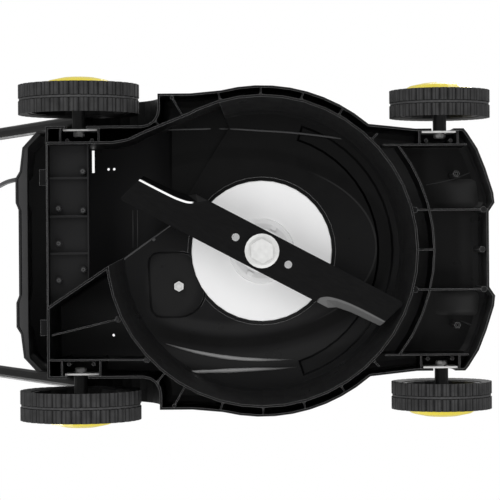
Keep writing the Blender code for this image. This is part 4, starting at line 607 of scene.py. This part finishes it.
def make_metals():
    """The blade's paint and the bare and cast metals."""
    blade = Finish("blade_paint", 0.30)
    scuffs = blade.noise(scale=70, detail=6, where=blade.mapped(
        centre=AXIS, turn=(0, 0, BLADE_TURN), stretch=(1, 9, 1)
    ))
    blade.colours(scuffs, [(0.35, grey(0.0025, 0.0027)), (0.70, grey(0.0045, 0.0047))])
    blade.roughness(scuffs, 0.30, 0.36)
    paint_blade_glints(blade)
    blade.soft_edges(0.0012)
    blade.relief(blade.noise(scale=1200, detail=2), 0.00002)
    finishes["blade"] = blade.set(Specular_IOR_Level=0.14)

    steel = brushed_metal("plated_steel", (0.70, 0.70, 0.69), (0.84, 0.84, 0.83), 0.34)
    finishes["steel"] = steel.set(Metallic=0.55)
    bolt = brushed_metal("blade_bolt_steel", (0.74, 0.74, 0.73), (0.80, 0.80, 0.79), 0.44, (1, 1, 1))
    finishes["bolt"] = bolt.set(Metallic=0.4)

    casting = Finish("cast_alloy", 0.45, metallic=1.0)
    casting.colours(
        casting.noise(scale=120, detail=5), [(0.3, (0.42, 0.43, 0.44)), (0.7, (0.56, 0.57, 0.58))]
    )
    casting.roughness(casting.noise(scale=60, detail=3), 0.40, 0.58)
    casting.soft_edges(0.0010)
    finishes["casting"] = casting.relief(casting.noise(scale=700, detail=3), 0.00015)

    core = Finish("steel_sheets", 0.45, metallic=1.0)
    core.colours(core.noise(scale=90, detail=4), [(0.3, grey(0.22, 0.23)), (0.7, grey(0.34, 0.35))])
    core.roughness(core.noise(scale=50, detail=3), 0.38, 0.55)
    finishes["core"] = core.relief(core.bands(scale=600, axis="Z"), 0.0002)

    copper = Finish("enamelled_wire", 0.3, metallic=1.0)
    strands = copper.bands(scale=260, axis="DIAGONAL", distortion=2.0)
    copper.colours(strands, [(0.2, (0.36, 0.13, 0.035)), (0.8, (0.72, 0.34, 0.12))])
    copper.roughness(copper.noise(scale=40, detail=3), 0.24, 0.40)
    finishes["copper"] = copper.relief(strands, 0.0004)


def make_others():
    """The pale disc, the grip's foam and the lead's sheath."""
    disc = Finish("disc_plastic", 0.5)
    disc.colours(disc.noise(scale=16, detail=4), [(0.25, grey(0.88, 0.882)), (0.75, grey(0.91, 0.912))])
    disc.roughness(disc.noise(scale=30, detail=3), 0.44, 0.58)
    disc.soft_edges(0.0008)
    rings = disc.bands(scale=330, kind="RINGS", where=disc.mapped(centre=AXIS))
    finishes["disc"] = disc.relief(rings, 0.00001)

    foam = Finish("grip_foam", 0.9)
    foam.colours(foam.noise(scale=300, detail=4), [(0.3, grey(0.012)), (0.7, grey(0.026))])
    foam.roughness(foam.noise(scale=120, detail=3), 0.82, 0.95)
    finishes["foam"] = foam.relief(foam.cells(scale=700), 0.0004)

    cable = Finish("cable_sheath", 0.45)
    cable.colours(cable.noise(scale=50, detail=3), [(0.3, grey(0.055, 0.057)), (0.7, grey(0.080, 0.082))])
    cable.roughness(cable.noise(scale=80, detail=3), 0.40, 0.55)
    finishes["cable"] = cable.relief(cable.noise(scale=900, detail=2), 0.00005)


FINISH_OF = {
    "deck": ["deck_shell", "handle_bracket_left", "handle_bracket_right", "knob_left",
             "knob_right", "switch_cover", "switch_base", "mains_inlet"],
    "grey": ["chute_floor", "power_switch", "blade_carrier"],
    "flap_shaded": ["rear_flap"],
    "hood": ["motor_hood"],
    "yellow": ["start_lever", "lock_button"],
    "disc": ["spindle_disc"],
    "blade": ["blade"],
    "bolt": ["blade_bolt", "anchor_nut"],
    "steel": ["lower_bearing", "upper_bearing", "motor_shaft", "flap_pin",
              "pivot_bolt_left", "pivot_bolt_right"],
    "casting": ["motor_base", "motor_cap"],
    "core": ["stator_core", "rotor_core"],
    "copper": ["winding"],
    "pale": ["capacitor"],
    "tube": ["lower_tube_left", "lower_tube_right", "upper_handle"],
    "foam": ["grip"],
    "cable": ["power_lead"],
}
WHEEL_FINISH = {
    "rim": "wheel", "hub_cap": "yellow", "axle_bolt": "bolt",
    "axle_sleeve": "wheel", "axle_plate": "steel",
}


def dress_nodes():
    """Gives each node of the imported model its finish."""
    chosen = {node: key for key, nodes in FINISH_OF.items() for node in nodes}
    for end in ("front", "rear"):
        for hand in ("left", "right"):
            for part, key in WHEEL_FINISH.items():
                chosen[f"{end}_{hand}_{part}"] = key
            chosen[f"{end}_{hand}_tyre"] = f"{end}_tread"
    for node in frame["nodes"]:
        for slot in bpy.data.objects[node].material_slots:
            slot.material = finishes[chosen[node]].material


# Modelling

def from_axis(x, y, z):
    """A point given from the blade's axis."""
    return AXIS + Vector((x, y, z))


def on_handle(front, left, up):
    """A point of the upper handle, from its pivot."""
    return FOLD + HANDLE_FRONT * front + Vector((0, left, 0)) + HANDLE_UP * up


def facing(place, direction):
    """A placement that turns +Z to a direction."""
    turn = Vector(direction).to_track_quat("Z", "Y").to_matrix().to_4x4()
    return Matrix.Translation(place) @ turn


def fresh(add, **where):
    """Adds one primitive by itself and returns it."""
    bpy.ops.object.select_all(action="DESELECT")
    add(**where)
    return bpy.context.active_object


def pick(obj, mode, test):
    """Selects the faces or corners of a piece that pass a test on place and normal."""
    if obj.mode != "EDIT":
        bpy.ops.object.mode_set(mode="EDIT")
    bpy.ops.mesh.select_all(action="DESELECT")
    bpy.ops.mesh.select_mode(type=mode)
    bm = bmesh.from_edit_mesh(obj.data)
    if mode == "FACE":
        for face in bm.faces:
            face.select_set(test(face.calc_center_median(), face.normal))
    else:
        for vert in bm.verts:
            vert.select_set(test(vert.co, vert.normal))
    bm.select_flush_mode()
    bmesh.update_edit_mesh(obj.data)


def face_outward():
    """Turns all faces of the piece in edit mode outward, and leaves edit mode."""
    bpy.ops.mesh.select_all(action="SELECT")
    bpy.ops.mesh.normals_make_consistent(inside=False)
    bpy.ops.object.mode_set(mode="OBJECT")


def thicken(obj, thickness, offset):
    """Gives a sheet a wall, in the middle of its faces at offset 0 and outside them at 1."""
    wall = obj.modifiers.new("wall", "SOLIDIFY")
    wall.thickness = thickness
    wall.offset = offset


def round_bar(name, radius, resolution, spots):
    """A capped round bar along a smooth line of spots, each a point and a share of the radius."""
    bpy.ops.object.select_all(action="DESELECT")
    line = bpy.data.curves.new(name, "CURVE")
    line.dimensions = "3D"
    line.resolution_u = 8
    line.bevel_depth = radius
    line.bevel_resolution = resolution
    line.use_fill_caps = True
    route = line.splines.new("BEZIER")
    route.bezier_points.add(len(spots) - 1)
    for knot, (point, share) in zip(route.bezier_points, spots):
        knot.co = point
        knot.radius = share
        knot.handle_left_type = knot.handle_right_type = "AUTO"
    bar = bpy.data.objects.new(name, line)
    bpy.context.scene.collection.objects.link(bar)
    bar.select_set(True)
    bpy.context.view_layer.objects.active = bar
    bpy.ops.object.convert(target="MESH")
    return bar


def paint(obj, finish, smooth):
    """Gives a piece its finish, and shades it smooth where it turns less than an angle in degrees."""
    bpy.ops.object.shade_smooth_by_angle(angle=math.radians(smooth))
    obj.data.materials.clear()
    obj.data.materials.append(finishes[finish].material)


def finished(obj, name, finish, body, smooth=35):
    """Ends the modelling of a piece: its place goes into its mesh and it rides its body."""
    bpy.ops.object.select_all(action="DESELECT")
    obj.select_set(True)
    bpy.context.view_layer.objects.active = obj
    for modifier in list(obj.modifiers):
        bpy.ops.object.modifier_apply(modifier=modifier.name)
    bpy.ops.object.transform_apply(location=True, rotation=True, scale=True)
    obj.name = name
    obj.data.name = name
    paint(obj, finish, smooth)
    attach(obj, body)


def copies(pattern, name, places, finish, body):
    """Finished copies of a modelled piece, each with its own mesh, one at each placement."""
    for number, place in enumerate(places, start=1):
        twin = pattern.copy()
        twin.data = pattern.data.copy()
        bpy.context.scene.collection.objects.link(twin)
        twin.matrix_world = place
        finished(twin, f"{name}_{number}", finish, body)


def discard(pattern):
    """Removes a piece that was only modelled to be copied."""
    mesh = pattern.data
    bpy.data.objects.remove(pattern)
    bpy.data.meshes.remove(mesh)


# Lead

# Its middle line in the mower's frame: out of the hood's gland, over the deck and the flap,
# up the handle's right leg and into the switch box
LEAD_ROUTE = (
    (0.15125, -0.05, 0.19), (0.13725, -0.05, 0.19), (0.11125, -0.056, 0.196), (0.07015, -0.076, 0.214),
    (0.02715, -0.093, 0.238), (-0.01485, -0.106, 0.258), (-0.05285, -0.111, 0.272),
    (-0.08985, -0.109, 0.296), (-0.12085, -0.099, 0.335), (-0.15085, -0.092, 0.381),
    (-0.18485, -0.096, 0.434), (-0.21985, -0.11, 0.49), (-0.24835, -0.126, 0.5375),
    (-0.28275, -0.139, 0.5816), (-0.31355, -0.1413, 0.621), (-0.35665, -0.1403, 0.6762),
    (-0.39975, -0.1393, 0.7314), (-0.43055, -0.1366, 0.7708), (-0.46145, -0.128, 0.8038),
    (-0.48655, -0.106, 0.8311), (-0.50705, -0.084, 0.8524), (-0.52015, -0.076, 0.8675),
    (-0.52875, -0.076, 0.8786),
)


def add_lead():
    """The grey lead from the hood to the switch box."""
    lead = round_bar("lead", LEAD_R, 4, [(point, 1) for point in LEAD_ROUTE])
    paint(lead, "cable", 50)
    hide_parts("power_lead")
    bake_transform(lead)


# Screws

SCREW_R = 0.0032
LOBES = 6
FLOOR_SCREWS = (                # ahead of and left of the blade's axis
    (-0.281, -0.061), (-0.247, -0.058), (-0.281, -0.0125), (-0.247, 0.024), (-0.281, 0.0385),
    (-0.247, -0.112),
)
FLOOR_SCREW_Z = 0.0338
DECK_SCREWS = ((-0.160, 0.149), (-0.200, 0.0925))
DECK_SCREW_Z = 0.0278
COVER_MIDDLE = (-0.0262, -0.040, 0.500)     # of the switch box, on the handle
COVER_SCREW_ASIDE, COVER_SCREW_UP = 0.036, 0.030


def model_screw(radius):
    """A pan head with a six-lobed socket, its seat at the origin and its head up."""
    height, rounding, land, depth = radius * 0.7, radius * 0.3, radius * 0.22, radius * 0.4
    head = fresh(
        bpy.ops.mesh.primitive_cylinder_add, vertices=2 * LOBES, radius=radius, depth=height,
        location=(0, 0, height / 2),
    )
    bpy.ops.object.transform_apply(location=True)
    pick(head, "FACE", lambda c, n: n.z > 0.9)
    bpy.ops.mesh.bevel(offset=rounding, segments=2, affect="EDGES")
    pick(head, "FACE", lambda c, n: n.z > 0.98)
    bpy.ops.mesh.inset(thickness=land)
    socket = min(v.co.length for v in bmesh.from_edit_mesh(head.data).verts)
    pick(head, "VERT", lambda c, n: c.length < socket * 1.01
         and round(math.atan2(c.y, c.x) / (math.pi / LOBES)) % 2 == 0)
    bpy.ops.transform.resize(value=(0.66, 0.66, 1))
    pick(head, "FACE", lambda c, n: n.z > 0.98 and c.xy.length < radius * 0.05)
    bpy.ops.mesh.extrude_region_move(TRANSFORM_OT_translate={"value": (0, 0, -depth)})
    bpy.ops.object.mode_set(mode="OBJECT")
    return head


def add_screws():
    """The screws of the chute floor, of the deck and of the switch box's cover."""
    screw = model_screw(SCREW_R)
    copies(screw, "floor_screw", [
        facing(from_axis(x, y, FLOOR_SCREW_Z), -UP) for x, y in FLOOR_SCREWS
    ], "tread_band", "deck")
    copies(screw, "deck_screw", [
        facing(from_axis(x, y, DECK_SCREW_Z), -UP) for x, y in DECK_SCREWS
    ], "wheel", "deck")
    front, left, up = COVER_MIDDLE
    copies(screw, "box_screw", [
        facing(on_handle(front, left + aside, up + above), -HANDLE_FRONT)
        for above in (COVER_SCREW_UP, -COVER_SCREW_UP)
        for aside in (COVER_SCREW_ASIDE, -COVER_SCREW_ASIDE)
    ], "steel", "handle")
    discard(screw)


# Forms moulded into the deck's underside

BEAD_R = 0.0024
CREASE_Z = 0.106

# The beads' finishes are paler than the deck's, as painted highlights along them
# Each bead's name, its finish and its line: points from the blade's axis and shares of BEAD_R
RAMP_BEADS = (
    ("ramp_bead_inner", "bead", (
        (-0.137, 0.130, ROOF_Z, 0.2), (-0.112, 0.1375, ROOF_Z, 0.7), (-0.088, 0.1434, ROOF_Z, 1),
        (-0.045, 0.1508, ROOF_Z, 1.2), (-0.010, 0.1535, ROOF_Z, 1), (0.024, 0.1541, ROOF_Z, 0.5),
        (0.045, 0.1535, ROOF_Z, 0.1),
    )),
    ("ramp_bead_outer", "bead", (
        (-0.1172, 0.1687, 0.062, 0.3), (-0.106, 0.170, 0.090, 0.7), (-0.088, 0.1700, ROOF_Z, 1),
        (-0.045, 0.1688, ROOF_Z, 1.3), (-0.006, 0.1673, ROOF_Z, 1), (0.025, 0.1664, ROOF_Z, 0.6),
        (0.054, 0.164, ROOF_Z, 0.1),
    )),
    ("chord_bead", "tread_band", (
        (-0.131, -0.1725, VOLUTE_ROOF_Z, 0.3), (-0.088, -0.1735, VOLUTE_ROOF_Z, 0.6),
        (-0.052, -0.1735, VOLUTE_ROOF_Z, 0.6), (-0.040, -0.1728, ROOF_Z, 0.6),
        (0, -0.1700, ROOF_Z, 0.6), (0.040, -0.1672, ROOF_Z, 0.6), (0.096, -0.1605, ROOF_Z, 0.6),
        (0.118, -0.1570, ROOF_Z, 0.3),
    )),
    ("tongue_bead", "tread_band", (
        (-0.2125, 0.0232, ROOF_Z, 0.6), (-0.1750, -0.0040, ROOF_Z, 0.6), (-0.1285, -0.0370, ROOF_Z, 0.4),
    )),
)
CREASES = (
    ("crease_bead_right", "tread_band", (
        (0.234, -0.0916, CREASE_Z, 0.2), (0.268, -0.0985, CREASE_Z, 0.5), (0.306, -0.1125, CREASE_Z, 0.2),
    )),
    ("crease_bead_left", "tread_band", (
        (0.281, 0.1015, CREASE_Z, 0.3), (0.294, 0.1065, CREASE_Z, 0.6), (0.306, 0.1110, CREASE_Z, 0.3),
    )),
)
TUNNEL_BEADS = tuple(
    (name, "tread_band", ((x, -0.060, z, 0.25), (x, -0.033, z, 0.4), (x, -0.006, z, 0.25)))
    for name, x, z in (("tunnel_bead_1", -0.1840, 0.1405), ("tunnel_bead_2", -0.1772, 0.1365))
)
BOSS_PLACE, BOSS_R, BOSS_HEIGHT = (-0.1525, -0.0175, 0.0975), 0.0027, 0.004


def add_beads(beads):
    """Rounded beads along a roof or wall."""
    for name, finish, line in beads:
        spots = [(from_axis(x, y, z), share) for x, y, z, share in line]
        finished(round_bar(name, BEAD_R, 5, spots), name, finish, "deck", 60)


def add_boss():
    """The small boss on the tongue between the chamber and the tunnel."""
    boss = fresh(bpy.ops.mesh.primitive_cylinder_add, vertices=20, radius=BOSS_R, depth=BOSS_HEIGHT)
    pick(boss, "FACE", lambda c, n: n.z < -0.9)
    bpy.ops.mesh.bevel(offset=0.0006, segments=2, affect="EDGES")
    bpy.ops.object.mode_set(mode="OBJECT")
    boss.location = from_axis(*BOSS_PLACE)
    # Its paler finish is a painted highlight
    finished(boss, "tongue_boss", "tread_band", "deck")


# Each swell's name and its two sides
SWELLS = (("front_swell_right", -0.100, -0.0585), ("front_swell_left", 0.0585, 0.094))
SWELL_X, SWELL_HALF_X = 0.272, 0.036
SWELL_TOP, SWELL_RISE, SWELL_T = 0.1062, 0.0055, 0.0012


def add_swells():
    """The shallow swells in the roof of the two outer front compartments."""
    for name, low, high in SWELLS:
        swell = fresh(bpy.ops.mesh.primitive_grid_add, x_subdivisions=16, y_subdivisions=10, size=2)
        bpy.ops.object.mode_set(mode="EDIT")
        bm = bmesh.from_edit_mesh(swell.data)
        for vert in bm.verts:
            ahead, aside = vert.co.x, vert.co.y
            full = (1 - ahead ** 6) * (1 - aside ** 6)
            rise = SWELL_RISE * full * (0.45 + 0.55 * ahead)
            y = (low + high) / 2 + (high - low) / 2 * aside
            vert.co = from_axis(SWELL_X + SWELL_HALF_X * ahead, y, SWELL_TOP - rise)
        bm.normal_update()
        bpy.ops.mesh.select_all(action="SELECT")
        bpy.ops.mesh.flip_normals()
        bpy.ops.mesh.extrude_region_move(TRANSFORM_OT_translate={"value": (0, 0, SWELL_T)})
        face_outward()
        finished(swell, name, "swell", "deck", 50)


WEB_SIZE, WEB_FLARE = (0.022, 0.0190, 0.0024), 1.3
WEB_X, WEB_Y, WEB_Z = -0.2520, 0.1831, 0.1490


def add_arch_webs():
    """The small web that closes the wheel arch behind each rear axle, wider towards the wall."""
    web = fresh(bpy.ops.mesh.primitive_cube_add, size=1)
    bpy.ops.transform.resize(value=WEB_SIZE)
    bpy.ops.object.transform_apply(scale=True)
    pick(web, "VERT", lambda c, n: c.y < 0)
    bpy.ops.transform.resize(value=(WEB_FLARE, 1, 1))
    bpy.ops.mesh.select_all(action="SELECT")
    bpy.ops.mesh.bevel(offset=0.0006, segments=2, affect="EDGES")
    bpy.ops.object.mode_set(mode="OBJECT")
    copies(web, "arch_web", [
        Matrix.Translation(from_axis(WEB_X, WEB_Y, WEB_Z)),
        Matrix.Translation(from_axis(WEB_X, -WEB_Y, WEB_Z)) @ Matrix.Rotation(math.pi, 4, "Z"),
    ], "deck", "deck")
    discard(web)


# The left half of the flap's lower edge, ahead of and beside the blade's axis
FLAP_EDGE = (
    (-0.3360, 0.0585), (-0.3400, 0.0690), (-0.3400, 0.1030), (-0.3350, 0.1125), (-0.3310, 0.1475),
    (-0.3125, 0.1665),
)
FLAP_FOLD = -0.3278             # the rim's inner edge is no further back than this
RIM_Z, RIM_WIDTH, RIM_RISE, RIM_T = 0.0690, 0.0045, 0.0025, 0.0012


def add_flap_rim():
    """The flap's lower edge, turned in all round."""
    half = [Vector((x, y, 0)) for x, y in FLAP_EDGE]
    edge = [Vector((p.x, -p.y, 0)) for p in reversed(half)] + half
    rim = fresh(bpy.ops.mesh.primitive_grid_add, x_subdivisions=len(edge) - 1, y_subdivisions=1, size=2)
    bpy.ops.object.mode_set(mode="EDIT")
    for vert in bmesh.from_edit_mesh(rim.data).verts:
        step = round((vert.co.x + 1) / 2 * (len(edge) - 1))
        place = edge[step].copy()
        if vert.co.y > 0:
            place.x = max(FLAP_FOLD, place.x + RIM_WIDTH)
            place.z = RIM_RISE
        vert.co = AXIS + place + Vector((0, 0, RIM_Z))
    face_outward()
    thicken(rim, RIM_T, 0)
    # Its lighter finish is painted light
    finished(rim, "flap_rim", "flap", "flap", 25)


# Wheels

BAND_WIDTH, BAND_DEPTH = 0.0030, 0.0012     # across the tyre, and below the lugs' tops
BAND_INNER = 0.97                           # inner radius, as a share of the outer one


def add_tread_bands():
    """The smooth band in the groove between a tyre's two rows of lugs, paler than the tyre as a painted
    highlight.
    """
    for end in ("front", "rear"):
        for hand, side in (("left", 1), ("right", -1)):
            hub = PIVOTS[f"{end}_{hand}_spin"]
            band = fresh(
                bpy.ops.mesh.primitive_cylinder_add, vertices=2 * LUGS, radius=hub.z - BAND_DEPTH,
                depth=BAND_WIDTH, end_fill_type="NOTHING",
            )
            bpy.ops.object.mode_set(mode="EDIT")
            bpy.ops.mesh.select_all(action="SELECT")
            bpy.ops.mesh.extrude_region_move(TRANSFORM_OT_translate={"value": (0, 0, 0)})
            bpy.ops.transform.resize(value=(BAND_INNER, BAND_INNER, 1))
            face_outward()
            band.matrix_world = facing(hub, (0, side, 0))
            finished(band, f"{end}_{hand}_tread_band", "tread_band", f"{end}_{hand}_wheel", 40)


# Cable ties

TIE_UPS = (0.112, 0.190, 0.262)
TIE_WIDTH, TIE_T = 0.0042, 0.0011
TIE_SLACK = 0.0005
TUBE_TO_LEAD = TUBE_R + LEAD_R + 0.0008     # between their middles


def leg_y(up):
    """Half width between the handle's legs, at a distance up from the pivot."""
    share = (up - LEG_FOOT_UP) / (LEG_HEAD_UP - LEG_FOOT_UP)
    return LEG_FOOT_Y + (LEG_HEAD_Y - LEG_FOOT_Y) * share


def add_cable_ties():
    """Ties round the handle's right leg and the lead beside it."""
    tie = fresh(
        bpy.ops.mesh.primitive_circle_add, vertices=32, radius=TUBE_R + TIE_SLACK, fill_type="NOTHING"
    )
    bpy.ops.object.mode_set(mode="EDIT")
    bpy.ops.mesh.select_mode(type="VERT")
    for vert in bmesh.from_edit_mesh(tie.data).verts:
        towards = vert.co.normalized()
        if TUBE_TO_LEAD * towards.x + LEAD_R > TUBE_R:
            vert.co = towards * (LEAD_R + TIE_SLACK) + AHEAD * TUBE_TO_LEAD
    bpy.ops.mesh.select_all(action="SELECT")
    bpy.ops.mesh.extrude_region_move(TRANSFORM_OT_translate={"value": (0, 0, TIE_WIDTH)})
    face_outward()
    thicken(tie, TIE_T, 1.0)
    turn = Matrix((LEFT, -HANDLE_FRONT, HANDLE_UP)).transposed().to_4x4()
    copies(tie, "cable_tie", [
        Matrix.Translation(on_handle(0, -leg_y(up), up)) @ turn for up in TIE_UPS
    ], "wheel", "handle")
    discard(tie)


add_camera()
add_light()
add_floor()
make_plastics()
make_metals()
make_others()
dress_nodes()
add_lead()
add_screws()
add_beads(RAMP_BEADS)
add_boss()
add_beads(CREASES + TUNNEL_BEADS)
add_swells()
add_arch_webs()
add_flap_rim()
add_tread_bands()
add_cable_ties()

bpy.context.scene.view_settings.view_transform = "Standard"
